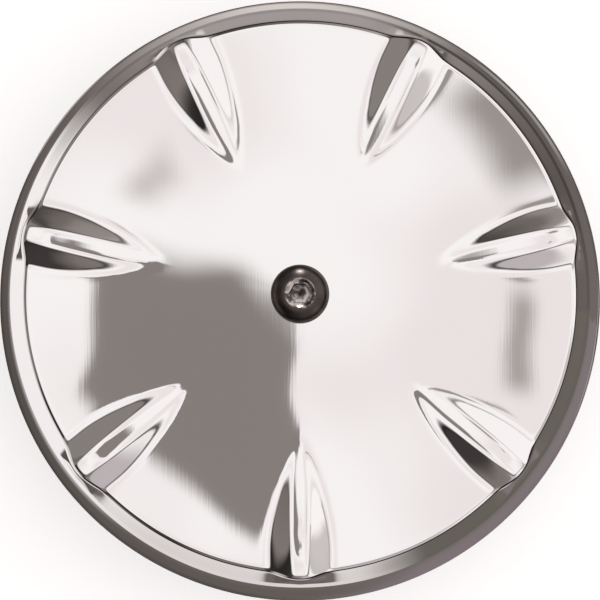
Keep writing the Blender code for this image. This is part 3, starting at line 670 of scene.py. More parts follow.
# Epoxy-coated steel wire: pale grey, smooth, with small thick and thin places in the coat.
wire_coat, tree, shader, place = new_finish("coated_steel_wire", metallic=0.9, roughness=0.3)
coat = add_node(tree, "ShaderNodeTexNoise", {"Vector": place, "Scale": 1500.0, "Detail": 2.0})
spread = add_node(
    tree,
    "ShaderNodeMapRange",
    {"Value": coat.outputs["Fac"], "From Min": 0.35, "From Max": 0.65},
)
tint = add_node(
    tree,
    "ShaderNodeMix",
    {"Factor": spread.outputs[0], 6: linear("8e9296"), 7: linear("b9bcc0")},
    data_type="RGBA",
)
tree.links.new(tint.outputs[2], shader.inputs["Base Color"])
relief = add_node(tree, "ShaderNodeBump", {"Height": coat.outputs["Fac"], "Distance": 0.03 * mm})
tree.links.new(relief.outputs[0], shader.inputs["Normal"])
for node in ("filter_outer_mesh", "filter_inner_mesh"):
    box_low, box_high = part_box(node)
    outer_r = box_high.x
    mean_r = outer_r - 0.4 * mm
    weave = 0.4 * mm - wire_r
    hoops = round((box_high.z - box_low.z) / wire_pitch)
    pairs = round(full_turn * mean_r / wire_pitch / 2)
    first_z = box_low.z + wire_r
    hoop_step = (box_high.z - box_low.z - 2 * wire_r) / (hoops - 1)
    bpy.ops.object.select_all(action="DESELECT")
    bpy.ops.mesh.primitive_circle_add(
        vertices=4, radius=wire_r, location=(0, 0, 0), rotation=(math.pi / 2, 0, 0)
    )
    sleeve = bpy.context.object
    sleeve.name = sleeve.data.name = node + "_weave"
    bpy.ops.object.transform_apply()
    bpy.ops.object.mode_set(mode="EDIT")
    bpy.ops.transform.translate(value=(mean_r, 0, first_z))
    for i in range(hoops - 1):
        bpy.ops.mesh.duplicate_move(TRANSFORM_OT_translate={"value": (0, 0, hoop_step)})
    bpy.ops.mesh.select_all(action="SELECT")
    bpy.ops.mesh.spin(steps=pairs * 4, angle=full_turn, center=(0, 0, 0), axis=(0, 0, 1))
    bpy.ops.mesh.select_all(action="SELECT")
    bpy.ops.mesh.remove_doubles(threshold=mm / 1000)
    bpy.ops.object.mode_set(mode="OBJECT")
    # Each hoop weaves in and out past the upright wires.
    for vert in sleeve.data.vertices:
        angle = math.atan2(vert.co.y, vert.co.x)
        row = round((vert.co.z - first_z) / hoop_step)
        out = math.hypot(vert.co.x, vert.co.y)
        moved = out + weave * math.cos(angle * pairs) * (1 if row % 2 else -1)
        vert.co.x *= moved / out
        vert.co.y *= moved / out
    uprights = []
    for phase in (0, 1):
        bpy.ops.object.select_all(action="DESELECT")
        bpy.ops.mesh.primitive_circle_add(vertices=4, radius=wire_r, location=(0, 0, 0))
        upright = bpy.context.object
        bpy.ops.object.mode_set(mode="EDIT")
        bpy.ops.transform.translate(value=(mean_r, 0, box_low.z))
        rows = (hoops - 1) * 2
        tail = wire_r
        bpy.ops.mesh.extrude_region_move(TRANSFORM_OT_translate={"value": (0, 0, tail)})
        for i in range(rows):
            bpy.ops.mesh.extrude_region_move(
                TRANSFORM_OT_translate={"value": (0, 0, hoop_step / 2)}
            )
        bpy.ops.mesh.extrude_region_move(TRANSFORM_OT_translate={"value": (0, 0, tail)})
        bpy.ops.object.mode_set(mode="OBJECT")
        for vert in upright.data.vertices:
            row = (vert.co.z - first_z) / hoop_step
            vert.co.x += weave * math.cos(row * math.pi) * (1 if phase else -1)
        bpy.ops.object.mode_set(mode="EDIT")
        bpy.ops.mesh.select_all(action="SELECT")
        turn = full_turn / pairs / 2 * phase
        bpy.ops.transform.rotate(value=-turn, orient_axis="Z", center_override=(0, 0, 0))
        bpy.ops.mesh.spin(
            steps=pairs, angle=full_turn, center=(0, 0, 0), axis=(0, 0, 1), dupli=True
        )
        bpy.ops.mesh.select_all(action="SELECT")
        bpy.ops.mesh.remove_doubles(threshold=mm / 1000)
        bpy.ops.object.mode_set(mode="OBJECT")
        uprights.append(upright)
    for thing in (*uprights, sleeve):
        thing.select_set(True)
    bpy.context.view_layer.objects.active = sleeve
    bpy.ops.object.join()
    bpy.ops.object.mode_set(mode="EDIT")
    bpy.ops.mesh.select_all(action="SELECT")
    bpy.ops.mesh.normals_make_consistent(inside=False)
    bpy.ops.object.mode_set(mode="OBJECT")
    fitted(sleeve, wire_coat, "wire_mesh", "filter", node)

# ---------------------------------------------------------------- top plate
# A disc pressed from 2 mm steel closes the filter. A raised bead near the edge stiffens it,
# and its rim is turned over to a soft edge. Three screws hold it to the posts.

top_low, top_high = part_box("top_plate")
top_plate_r = top_high.x
sheet_thick = 2.0 * mm
bolt_hole_r = 5.25 * mm


def bead_rise(radius):
    """The bead is a round-shouldered step with a level top, 1 mm high."""
    near = 1.0 - abs(radius - 60.75 * mm) / (2.75 * mm)
    near = min(max(near * 1.9, 0.0), 1.0)
    return mm * near * near * (3.0 - 2.0 * near)


radii = [58.0 * mm + i * 0.275 * mm for i in range(21)]
under = [(radius, top_low.z + bead_rise(radius)) for radius in radii]
over = [(radius, top_low.z + sheet_thick + bead_rise(radius)) for radius in reversed(radii)]
rim_r = 0.6 * mm
rim = arc((top_plate_r - rim_r, top_low.z + rim_r), rim_r, -90, 0, 4)
rim += arc((top_plate_r - rim_r, top_low.z + sheet_thick - rim_r), rim_r, 0, 90, 4)
hole = [
    (bolt_hole_r, top_low.z + sheet_thick - 0.2 * mm),
    (bolt_hole_r, top_low.z + 0.2 * mm),
    (bolt_hole_r + 0.2 * mm, top_low.z),
]
hole_top = [(bolt_hole_r + 0.2 * mm, top_low.z + sheet_thick)]
top_plate = turn_profile("top_plate_pressing", under + rim + over + hole_top + hole, 144)
machined(top_plate, posts, quarter_r + 0.4 * mm, top_low.z - mm, top_high.z + mm)

# Cold-rolled steel with satin zinc-nickel plate: mid grey, rolled along Y with hairs 0.4 mm apart.
plated, tree, shader, place = new_finish("satin_plated_steel", metallic=1.0, roughness=0.36)
stretch = add_node(tree, "ShaderNodeMapping", {"Vector": place, "Scale": (2400, 90, 90)})
hairs = add_node(
    tree, "ShaderNodeTexNoise", {"Vector": stretch.outputs[0], "Scale": 1.0, "Detail": 3.0}
)
spread = add_node(
    tree,
    "ShaderNodeMapRange",
    {"Value": hairs.outputs["Fac"], "From Min": 0.3, "From Max": 0.7},
)
tint = add_node(
    tree,
    "ShaderNodeMix",
    {"Factor": spread.outputs[0], 6: linear("88898b"), 7: linear("a3a4a6")},
    data_type="RGBA",
)
tree.links.new(tint.outputs[2], shader.inputs["Base Color"])
relief = add_node(
    tree, "ShaderNodeBump", {"Height": hairs.outputs["Fac"], "Distance": 0.02 * mm, "Strength": 0.6}
)
tree.links.new(relief.outputs[0], shader.inputs["Normal"])
fitted(top_plate, plated, "plate_steel", "top_plate", "top_plate")

# Its three 1/4-20 button-head screws, zinc plated.
screw_low, screw_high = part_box("top_plate_screw_1")
seat = top_low.z + sheet_thick + 0.3 * mm
crown_r = 5.55 * mm
crown_height = screw_high.z - seat
crown = []
for i in range(10):
    turn = math.radians(8 + 66 * i / 9)
    crown.append(
        (
            2.9 * mm + (crown_r - 2.9 * mm) * math.cos(turn) ** 0.8,
            seat + crown_height * (0.06 + 0.92 * math.sin(turn) ** 1.1),
        )
    )
outline = (
    [(0, screw_low.z)]
    + shank_rows(screw_low.z, seat - 0.1 * mm, quarter_r, quarter_pitch, plain=3 * mm)
    + [(quarter_r + 0.15 * mm, seat), (crown_r - 0.25 * mm, seat)]
    + crown
    + [(2.75 * mm, screw_high.z), (0, screw_high.z)]
)
model = turn_profile("button_head_screw", outline, 64, closed=False)
cut_thread(model, screw_low.z, seat - 3 * mm, quarter_r, quarter_pitch)
socket_r = 5 / 32 * inch / 2 / math.cos(math.pi / 6)
machined(model, [(0, 0)], socket_r, screw_high.z - 2.0 * mm, screw_high.z + mm, sides=6)
names = [f"top_plate_screw_{n}" for n in (1, 2, 3)]
set_out(model, names, posts, zinc, "zinc_steel", "top_plate")

# ---------------------------------------------------------------- cover post
# A flanged steel boss, tapped 3/8-16 right through and clinched to the top plate. The cover
# bolt screws down into it. It is turned, then zinc plated.

post_low, post_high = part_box("cover_post")
foot_r = post_high.x
post_r = 9.0 * mm
tap_r = 5.1 * mm
foot_top = post_low.z + 2.0 * mm
outline = (
    [(tap_r + 0.5 * mm, post_low.z), (foot_r - 0.3 * mm, post_low.z)]
    + [(foot_r, post_low.z + 0.3 * mm), (foot_r, foot_top - 0.5 * mm)]
    + [(foot_r - 0.5 * mm, foot_top)]
    + arc((post_r + 0.9 * mm, foot_top + 0.9 * mm), 0.9 * mm, -90, -180, 6)
    + [(post_r, post_high.z - 2.2 * mm), (post_r - 0.25 * mm, post_high.z - 2.0 * mm)]
    + [(post_r - 0.25 * mm, post_high.z - 1.4 * mm), (post_r, post_high.z - 1.2 * mm)]
    + arc((post_r - 0.6 * mm, post_high.z - 0.6 * mm), 0.6 * mm, 0, 90, 5)
    + [(tap_r + 0.6 * mm, post_high.z), (tap_r, post_high.z - 0.6 * mm)]
    + [(tap_r, post_low.z + 0.5 * mm)]
)
cover_post = turn_profile("cover_post_boss", outline, 96)
fitted(cover_post, zinc, "zinc_steel", "top_plate", "cover_post")

# ---------------------------------------------------------------- cushion
# A ring of closed-cell foam rubber, glued to the top plate, which keeps the cover quiet.
# It is cut from sheet, so its sides are flat, and its top is crowned by the cover's weight.

cushion_low, cushion_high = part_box("cover_cushion")
cushion_r = cushion_high.x
cushion_inner = cushion_r - 5.0 * mm
crown = []
for i in range(9):
    share = i / 8
    sag = 0.7 * mm * (2 * share - 1) ** 4
    crown.append((cushion_r - 0.2 * mm - 4.6 * mm * share, cushion_high.z - sag))
outline = [(cushion_inner, cushion_low.z), (cushion_r, cushion_low.z)]
outline += [(cushion_r, cushion_high.z - 1.1 * mm)] + crown
outline += [(cushion_inner, cushion_high.z - 1.1 * mm)]
cushion = turn_profile("foam_cushion", outline, 160)
# Closed-cell foam: dull black, with open cells about 0.8 mm wide on the cut faces.
foam, tree, shader, place = new_finish("closed_cell_foam", roughness=0.9)
cells = add_node(tree, "ShaderNodeTexVoronoi", {"Vector": place, "Scale": 1250.0})
spread = add_node(
    tree,
    "ShaderNodeMapRange",
    {"Value": cells.outputs["Distance"], "From Min": 0.1, "From Max": 0.7},
)
# The cells' hollows are painted darker than their rims, as painted shade in the cells.
tint = add_node(
    tree,
    "ShaderNodeMix",
    {"Factor": spread.outputs[0], 6: linear("0f0f0f"), 7: linear("2a2a2a")},
    data_type="RGBA",
)
tree.links.new(tint.outputs[2], shader.inputs["Base Color"])
relief = add_node(
    tree, "ShaderNodeBump", {"Height": cells.outputs["Distance"], "Distance": 0.25 * mm}
)
tree.links.new(relief.outputs[0], shader.inputs["Normal"])
fitted(cushion, foam, "rubber", "top_plate", "cover_cushion")

# ---------------------------------------------------------------- cover
# One deep steel pressing, polished and chrome plated: a shallow dome with seven radial
# ridges that end in round tongues, a stepped shoulder and a plain skirt. Its one hole
# takes the central bolt, which pulls it down on the foam cushion.


cover_low, cover_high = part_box("cover")
cover_r = cover_high.x
cover_wall = 1.2 * mm
cover_top = cover_high.z
dome_sag = 7.0 * mm
dome_r = 77.6 * mm
edge_r = 80.4 * mm
edge_round = 2.5 * mm
tongue_reach = 2.0 * mm
ledge_r = 83.5 * mm
ledge_lean = math.radians(53)
ledge_z = cover_top - 14.2 * mm
ledge_width = 0.9 * mm
fillet = 0.9 * mm
brow_round = 1.1 * mm
brow_lean = math.radians(66)
ridge_count = 7
# How each ridge runs outward: radius, height over the dome, width of one flank.
ridge_run = np.array(
    [
        (42.0, 0.0, 0.6),
        (46.0, 0.55, 2.6),
        (50.0, 1.2, 3.9),
        (55.0, 2.05, 5.3),
        (60.0, 2.9, 6.6),
        (65.0, 3.65, 7.6),
        (70.0, 4.25, 8.2),
        (75.0, 4.5, 8.3),
        (79.0, 4.1, 8.4),
        (83.0, 3.2, 8.8),
    ]
)
ridge_crest_half = 1.5 * mm
first_ridge = math.radians(270)
sector = full_turn / ridge_count


def dome_z(radius):
    return cover_top - dome_sag * (radius / dome_r) ** 2


def rounded_ramp(share, corner=0.25):
    """Falls from 1 to 0 with a straight middle and a round at both ends."""
    share = min(max(share, 0.0), 1.0)
    steep = 1.0 / (1.0 - corner)
    if share < corner:
        return 1.0 - steep * share**2 / (2 * corner)
    if share > 1.0 - corner:
        return steep * (1.0 - share) ** 2 / (2 * corner)
    return 1.0 - steep * (share - corner / 2)


def through(column, radius):
    """Reads one column of the ridge's run as a smooth curve through its points."""
    places, values = ridge_run[:, 0] * mm, ridge_run[:, column] * mm
    slopes = np.gradient(values, places)
    i = int(np.clip(np.searchsorted(places, radius) - 1, 0, len(places) - 2))
    step = places[i + 1] - places[i]
    t = min(max((radius - places[i]) / step, 0.0), 1.0)
    return (
        (2 * t**3 - 3 * t**2 + 1) * values[i]
        + (t**3 - 2 * t**2 + t) * step * slopes[i]
        + (3 * t**2 - 2 * t**3) * values[i + 1]
        + (t**3 - t**2) * step * slopes[i + 1]
    )


def ridge_z(across, radius):
    """The height of a ridge above the dome: a flat crest between two long lens-shaped flanks."""
    height, flank = through(1, radius), through(2, radius)
    crest = ridge_crest_half * min(1.0, flank / (5.0 * mm))
    return max(height, 0.0) * rounded_ramp((abs(across) - crest) / flank)


def tongue(across):
    """How far the face's edge stands out at a ridge's end, as a round tongue."""
    swell = 1.0 - (across / (9.0 * mm)) ** 2
    return tongue_reach * 0.5 * (swell + math.sqrt(swell**2 + 0.04)) if swell > -4 else 0.0


def arc_rows(centre, radius, start, stop, steps, sign=1.0):
    """Points of a round, from one lean of its surface to another, without the first."""
    rows = []
    for i in range(1, steps + 1):
        lean = start + (stop - start) * i / steps
        rows.append(
            (
                centre[0] + sign * radius * math.sin(lean),
                centre[1] + sign * radius * math.cos(lean),
            )
        )
    return rows


def line_rows(start, stop, shares):
    return [
        (start[0] + (stop[0] - start[0]) * s, start[1] + (stop[1] - start[1]) * s) for s in shares
    ]


def cover_rows(offset, face_rows=25):
    """The outer surface at an angle from the nearest ridge, from the bolt hole to the hem."""
    edge = edge_r + tongue(edge_r * math.sin(offset))
    flat_end = edge - edge_round
    hole_r = 5.4 * mm
    rows = []
    for i in range(face_rows):
        radius = hole_r + (flat_end - hole_r) * (i / (face_rows - 1)) ** 0.72
        rows.append((radius, dome_z(radius) + ridge_z(radius * math.sin(offset), radius)))
    last, before = rows[-1], rows[-2]
    lean = math.atan2(before[1] - last[1], last[0] - before[0])
    # The wall runs from the round at its top to the fillet at its foot.
    centre = (last[0] - edge_round * math.sin(lean), last[1] - edge_round * math.cos(lean))
    foot = (
        max(ledge_r - ledge_width, edge + 0.3 * mm) + fillet * math.sin(ledge_lean),
        ledge_z + ledge_width * math.tan(ledge_lean) + fillet * math.cos(ledge_lean),
    )
    reach = math.dist(foot, centre)
    steer = math.atan2(centre[1] - foot[1], foot[0] - centre[0])
    wall_lean = min(steer + math.asin((edge_round + fillet) / reach), math.radians(85))
    rows += arc_rows(centre, edge_round, lean, wall_lean, 6)
    hollow = arc_rows(foot, fillet, wall_lean, ledge_lean, 5, sign=-1.0)
    start = (foot[0] - fillet * math.sin(wall_lean), foot[1] - fillet * math.cos(wall_lean))
    rows += line_rows(rows[-1], start, (0.5, 1.0))
    rows += hollow
    # A narrow ledge, a tight brow, then a wide shoulder that runs into the skirt.
    rows += line_rows(rows[-1], (ledge_r, ledge_z), (0.5, 1.0))
    brow = (
        ledge_r - brow_round * math.sin(ledge_lean),
        ledge_z - brow_round * math.cos(ledge_lean),
    )
    rows += arc_rows(brow, brow_round, ledge_lean, brow_lean, 3)
    shoulder_round = (cover_r - rows[-1][0]) / (1.0 - math.sin(brow_lean))
    shoulder = (cover_r - shoulder_round, rows[-1][1] - shoulder_round * math.cos(brow_lean))
    rows += arc_rows(shoulder, shoulder_round, brow_lean, math.pi / 2, 7)
    hem = cover_low.z
    rows += line_rows(rows[-1], (cover_r, hem), (0.06, 0.97, 1.0))
    return rows


plain_rows = cover_rows(sector / 2)
cover = turn_profile("cover_shell", plain_rows, ridge_count * 34, closed=False)
# The press: each vertex goes to its own row at its angle, with columns crowded on the ridges.
plain = np.array(plain_rows)
pressed = {}
for vert in cover.data.vertices:
    radius = math.hypot(vert.co.x, vert.co.y)
    row = int(np.argmin(np.hypot(plain[:, 0] - radius, plain[:, 1] - vert.co.z)))
    turn = math.atan2(vert.co.y, vert.co.x) - first_ridge
    nearest = round(turn / sector)
    share = (turn - nearest * sector) / (sector / 2)
    offset = math.copysign(abs(share) ** 1.5, share) * sector / 2
    key = round(offset, 6)
    if key not in pressed:
        pressed[key] = cover_rows(offset)
    radius, height = pressed[key][row]
    angle = first_ridge + nearest * sector + offset
    vert.co = (radius * math.cos(angle), radius * math.sin(angle), height)
finer = cover.modifiers.new("finer", "SUBSURF")
finer.levels = finer.render_levels = 1
sheet = cover.modifiers.new("sheet", "SOLIDIFY")
sheet.thickness = cover_wall
sheet.offset = -1.0
apply_all(cover)
smooth(cover, 50)

# Bright chrome: a mirror with a very slight haze. The steel below was brushed across the
# cover before plating, so reflections have faint hairs at their edges.
chrome, tree, shader, place = new_finish("bright_chrome", metallic=1.0, roughness=0.045)
shader.inputs["Base Color"].default_value = linear("f6f4f4")
stretch = add_node(tree, "ShaderNodeMapping", {"Vector": place, "Scale": (1600, 45, 45)})
hairs = add_node(
    tree, "ShaderNodeTexNoise", {"Vector": stretch.outputs["Vector"], "Scale": 1.0, "Detail": 2.0}
)
relief = add_node(
    tree,
    "ShaderNodeBump",
    {"Height": hairs.outputs["Fac"], "Strength": 0.5, "Distance": 0.004 * mm},
)
tree.links.new(relief.outputs["Normal"], shader.inputs["Normal"])
cover.data.materials.clear()
cover.data.materials.append(chrome)
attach(cover, "cover")
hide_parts("cover")

# ---------------------------------------------------------------- bolt washer
# A disc of black rubber under the bolt's head. It keeps water out of the hole and lets the
# bolt pinch the cover without marking the chrome.

low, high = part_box("cover_bolt_washer")
washer_bore = 4.95 * mm
bulge = (high.z - low.z) / 2
outline = (
    [(washer_bore, low.z + 0.2 * mm), (washer_bore + 0.2 * mm, low.z)]
    + arc((high.x - bulge, low.z + bulge), bulge, -90, 90, 8)
    + [(washer_bore + 0.2 * mm, high.z), (washer_bore, high.z - 0.2 * mm)]
)
bolt_washer = turn_profile("rubber_washer", outline, 96)
fitted(bolt_washer, rubber, "rubber", "bolt_washer", "cover_bolt_washer")

# ---------------------------------------------------------------- cover bolt
# A 3/8-16 button-head screw holds the cover down. It is forged in alloy steel, with a dished
# mouth to its hexagon socket, and blackened by hot oxide and oil.

low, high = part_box("cover_bolt")
bolt_top = high.z - 0.01 * mm
seat = high.z - 5.0 * mm
head_r = high.x
bolt_r = 4.65 * mm
bolt_pitch = inch / 16
mouth_r = 4.25 * mm
crown = []
crown_bottom = seat + 0.75 * mm
crown_turn = math.radians(60)
for i in range(17):
    turn = crown_turn * i / 16
    rise = (bolt_top - crown_bottom) * math.sin(turn) / math.sin(crown_turn)
    crown.append((mouth_r + (head_r - mouth_r) * (2 * math.cos(turn) - 1), crown_bottom + rise))
outline = (
    [(0, low.z)]
    + shank_rows(low.z, seat - 0.3 * mm, bolt_r, bolt_pitch, plain=3 * mm)
    + [(bolt_r + 0.2 * mm, seat), (head_r - 0.75 * mm, seat), (head_r - 0.3 * mm, seat + 0.1 * mm)]
    + [(head_r - 0.06 * mm, seat + 0.4 * mm)]
    + crown
    + [(mouth_r - 0.1 * mm, bolt_top - 0.03 * mm), (3.3 * mm, bolt_top - 0.8 * mm)]
    + [(0, bolt_top - 0.82 * mm)]
)
cover_bolt = turn_profile("button_head_bolt", outline, 96, closed=False)
cut_thread(cover_bolt, low.z, seat - 3 * mm, bolt_r, bolt_pitch)
socket_r = 7 / 32 * inch / 2 / math.cos(math.pi / 6)
socket_low = bolt_top - 3.6 * mm
machined(cover_bolt, [(0, 0)], socket_r, socket_low, bolt_top + mm, sides=6)
for vert in cover_bolt.data.vertices:
    if abs(vert.co.z - socket_low) < 0.01 * mm and math.hypot(vert.co.x, vert.co.y) > 2 * mm:
        vert.co.x *= 0.88
        vert.co.y *= 0.88
# The drill point left at the bottom of the socket.
bpy.ops.object.select_all(action="DESELECT")
bpy.ops.mesh.primitive_cone_add(
    vertices=48,
    radius1=0,
    radius2=2.2 * mm,
    depth=0.9 * mm,
    location=(0, 0, socket_low - 0.4 * mm),
)
drill = bpy.context.object
point = cover_bolt.modifiers.new("drill point", "BOOLEAN")
point.object = drill
apply_all(cover_bolt)
bpy.data.objects.remove(drill)
# A flat of the socket faces the top of the cover.
cover_bolt.data.transform(Matrix.Rotation(math.pi / 6, 4, "Z"))

# Hot black oxide, oiled: a brown-black metal with a soft gloss, with a painted reflection round the
# socket's mouth and on the socket's floor, painted shade on the socket's walls and a painted shadow
# round the foot of the head.
oxide, tree, shader, place = new_finish("oiled_black_oxide", metallic=1.0, roughness=0.3)
cloud = add_node(tree, "ShaderNodeTexNoise", {"Vector": place, "Scale": 420.0, "Detail": 4.0})
dark = add_node(
    tree,
    "ShaderNodeMix",
    {"Factor": cloud.outputs["Fac"], 6: linear("4a4441"), 7: linear("5e5754")},
    data_type="RGBA",
)
level = add_node(tree, "ShaderNodeSeparateXYZ", {"Vector": place})
radial = add_node(tree, "ShaderNodeVectorMath", {0: place, 1: (1, 1, 0)}, operation="MULTIPLY")
radial = add_node(tree, "ShaderNodeVectorMath", {0: radial.outputs[0]}, operation="LENGTH")
# Three marks of painted light, each a step in height or radius: a painted reflection on the mouth,
# painted shade on the socket walls with a painted reflection on the floor below them, and a painted
# shadow on the foot of the head.
mouth = add_node(
    tree,
    "ShaderNodeMapRange",
    {
        "Value": radial.outputs["Value"],
        "From Min": mouth_r + 0.25 * mm,
        "From Max": mouth_r - 0.05 * mm,
    },
    interpolation_type="SMOOTHSTEP",
)
# The pale painted reflection, mottled with the oxide's own shade, for the socket's mouth and floor.
blotch = add_node(tree, "ShaderNodeTexNoise", {"Vector": place, "Scale": 520.0, "Detail": 2.0})
patch = add_node(
    tree,
    "ShaderNodeMapRange",
    {"Value": blotch.outputs["Fac"], "From Min": 0.38, "From Max": 0.6},
    interpolation_type="SMOOTHSTEP",
)
painted_reflection = add_node(
    tree,
    "ShaderNodeMix",
    {"Factor": patch.outputs[0], 6: linear("5a5250"), 7: linear("cfc7c3")},
    data_type="RGBA",
)
# The socket's dished mouth gets the pale painted reflection.
tint = add_node(
    tree,
    "ShaderNodeMix",
    {"Factor": mouth.outputs[0], 6: dark.outputs[2], 7: painted_reflection.outputs[2]},
    data_type="RGBA",
)
# Painted shade makes the socket walls near black, and the pale painted reflection comes back on the
# socket floor below them.
for edge, shade in (
    (bolt_top - 0.84 * mm, linear("0b0a0a")),
    (socket_low + 0.06 * mm, painted_reflection.outputs[2]),
):
    deep = add_node(
        tree,
        "ShaderNodeMath",
        {0: level.outputs["Z"], 1: edge},
        operation="LESS_THAN",
    )
    tucked = add_node(
        tree, "ShaderNodeMath", {0: deep.outputs[0], 1: mouth.outputs[0]}, operation="MULTIPLY"
    )
    tint = add_node(
        tree,
        "ShaderNodeMix",
        {"Factor": tucked.outputs[0], 6: tint.outputs[2], 7: shade},
        data_type="RGBA",
    )
# A painted shadow darkens the foot of the head, where it sits on the washer.
foot = add_node(
    tree,
    "ShaderNodeMapRange",
    {"Value": level.outputs["Z"], "From Min": seat + 1.5 * mm, "From Max": seat + 0.5 * mm},
    interpolation_type="SMOOTHSTEP",
)
tint = add_node(
    tree,
    "ShaderNodeMix",
    {"Factor": foot.outputs[0], 6: tint.outputs[2], 7: linear("141211")},
    data_type="RGBA",
)
tree.links.new(tint.outputs[2], shader.inputs["Base Color"])
gloss = add_node(
    tree, "ShaderNodeMapRange", {"Value": cloud.outputs["Fac"], "To Min": 0.22, "To Max": 0.36}
)
tree.links.new(gloss.outputs[0], shader.inputs["Roughness"])
grain = add_node(tree, "ShaderNodeTexNoise", {"Vector": place, "Scale": 2600.0, "Detail": 2.0})
relief = add_node(tree, "ShaderNodeBump", {"Height": grain.outputs["Fac"], "Distance": 0.012 * mm})
tree.links.new(relief.outputs[0], shader.inputs["Normal"])
fitted(cover_bolt, oxide, "black_steel", "cover_bolt", "cover_bolt")

# ---------------------------------------------------------------- stage
# A plain pale floor, a soft white surround with grey flags, and the camera over the cover.

bpy.ops.object.select_all(action="DESELECT")
bpy.ops.mesh.primitive_plane_add(size=3.0, location=(0, 0, -0.2 * mm))
floor = bpy.context.object
floor.name = "studio_floor"
floor_paint, _, floor_shader, _ = new_finish("pale_floor", roughness=0.9)
floor_shader.inputs["Base Color"].default_value = linear("fbfaf9")
floor_shader.inputs["Emission Color"].default_value = linear("ffffff")
floor_shader.inputs["Emission Strength"].default_value = 0.5
floor.data.materials.append(floor_paint)
floor.visible_glossy = False

world = bpy.data.worlds.new("soft_surround")
bpy.context.scene.world = world
world.use_nodes = True
sky = world.node_tree
sky.nodes.clear()
direction = add_node(sky, "ShaderNodeTexCoord").outputs["Generated"]
# The sheets hang a little unevenly, so their edges wander.
sway = add_node(sky, "ShaderNodeTexNoise", {"Vector": direction, "Scale": 3.2, "Detail": 1.5})
offset = add_node(
    sky,
    "ShaderNodeVectorMath",
    {0: sway.outputs["Color"], 1: (0.5, 0.5, 0.5)},
    operation="SUBTRACT",
)
hung = add_node(
    sky,
    "ShaderNodeVectorMath",
    {0: offset.outputs[0], 1: (0.16, 0.16, 0.0), 2: direction},
    operation="MULTIPLY_ADD",
)
east, north, up = add_node(sky, "ShaderNodeSeparateXYZ", {"Vector": hung.outputs[0]}).outputs
turned = add_node(sky, "ShaderNodeMath", {0: north, 1: east}, operation="ARCTAN2")
turned = add_node(sky, "ShaderNodeMath", {0: turned.outputs[0], 1: full_turn})
turned = add_node(
    sky, "ShaderNodeMath", {0: turned.outputs[0], 1: full_turn}, operation="DIVIDE"
)
bearing = add_node(sky, "ShaderNodeMath", {0: turned.outputs[0]}, operation="FRACT").outputs[0]

# Rings of shades round the cover, from straight below up: the sine of the angle above the
# horizon where each begins, how soft its edge is, and its shades by compass bearing in
# degrees from the X axis.
rings = (
    # Below the cover's hem.
    (
        -2.0,
        0.05,
        (
            (20, "5a5451"), (90, "514b48"), (180, "44403d"), (250, "4f4a47"), (300, "7d7376"),
            (340, "756c6e"),
        ),
    ),
    # The table close by, under the skirt.
    (
        -0.92,
        0.05,
        (
            (0, "6e6765"), (50, "5f5957"), (90, "d5cdc9"), (140, "645d5a"), (190, "55504c"),
            (235, "5d5754"), (270, "635d58"), (300, "7d7376"), (340, "7d7577"),
        ),
    ),
    # The near part of the table.
    (
        -0.74,
        0.06,
        (
            (0, "6a6563"), (25, "5f5956"), (65, "8a8481"), (78, "a09a98"), (108, "a09a98"),
            (130, "7a7471"), (155, "f4f1f0"), (208, "f4f1f0"), (235, "6b6661"), (280, "6b6661"),
            (340, "6c6760"),
        ),
    ),
    # The far part of the table.
    (
        -0.5,
        0.05,
        (
            (0, "5f5956"), (25, "4a4542"), (65, "4f4a48"), (80, "949090"), (105, "949090"),
            (130, "6f6966"), (150, "f4f1f0"), (215, "f4f1f0"), (240, "dcd7d5"), (280, "dcd7d5"),
            (298, "66615b"), (340, "66615b"),
        ),
    ),
    # The line where the table meets the sheets: dark nearly all round.
    (
        -0.25,
        0.05,
        (
            (0, "2c2a29"), (60, "242322"), (110, "1a1918"), (140, "55504e"), (160, "d5d0ce"),
            (210, "d5d0ce"), (240, "1a1918"), (300, "242322"), (330, "2c2a29"),
        ),
    ),
    # White sheets with grey and black flags between them.
    (
        0.12,
        0.03,
        (
            (8, "fbf8f7"), (62, "f8f5f4"), (68, "cfc9c7"), (80, "8f8986"), (92, "6e6865"),
            (103, "4a4543"), (112, "5f5956"), (120, "857f7c"), (158, "85807d"), (166, "6e6966"),
            (191, "7c7673"), (201, "2a2827"), (240, "3d3938"), (253, "7a7471"), (268, "857f7c"),
            (277, "b9b2b4"), (297, "bcb5b7"), (307, "efebea"), (322, "fbf8f7"), (332, "c4bfbd"),
            (350, "cbc6c4"), (356, "fbf8f7"),
        ),
    ),
    # Their upper edges, a thin dark line against the white above.
    (
        0.6,
        0.02,
        (
            (20, "e8e4e2"), (65, "8a8481"), (90, "3a3634"), (115, "4a4543"), (150, "5f5956"),
            (185, "6a6462"), (195, "242322"), (238, "242322"), (262, "5a5451"), (285, "4a4648"),
            (315, "55504e"), (335, "a8a2a0"),
        ),
    ),
)
surround = linear("5a5451")
for edge, soft, shades in rings:
    ramp = add_node(sky, "ShaderNodeValToRGB", {"Fac": bearing})
    ramp.color_ramp.interpolation = "EASE"
    for i, (degrees, shade) in enumerate(shades):
        if i > 1:
            ramp.color_ramp.elements.new(degrees / 360)
        ramp.color_ramp.elements[i].position = degrees / 360
        ramp.color_ramp.elements[i].color = linear(shade)
    step = add_node(
        sky,
        "ShaderNodeMapRange",
        {"Value": up, "From Min": edge - soft, "From Max": edge + soft},
        interpolation_type="SMOOTHSTEP",
    )
    surround = add_node(
        sky,
        "ShaderNodeMix",
        {"Factor": step.outputs[0], 6: surround, 7: ramp.outputs["Color"]},
        data_type="RGBA",
    ).outputs[2]

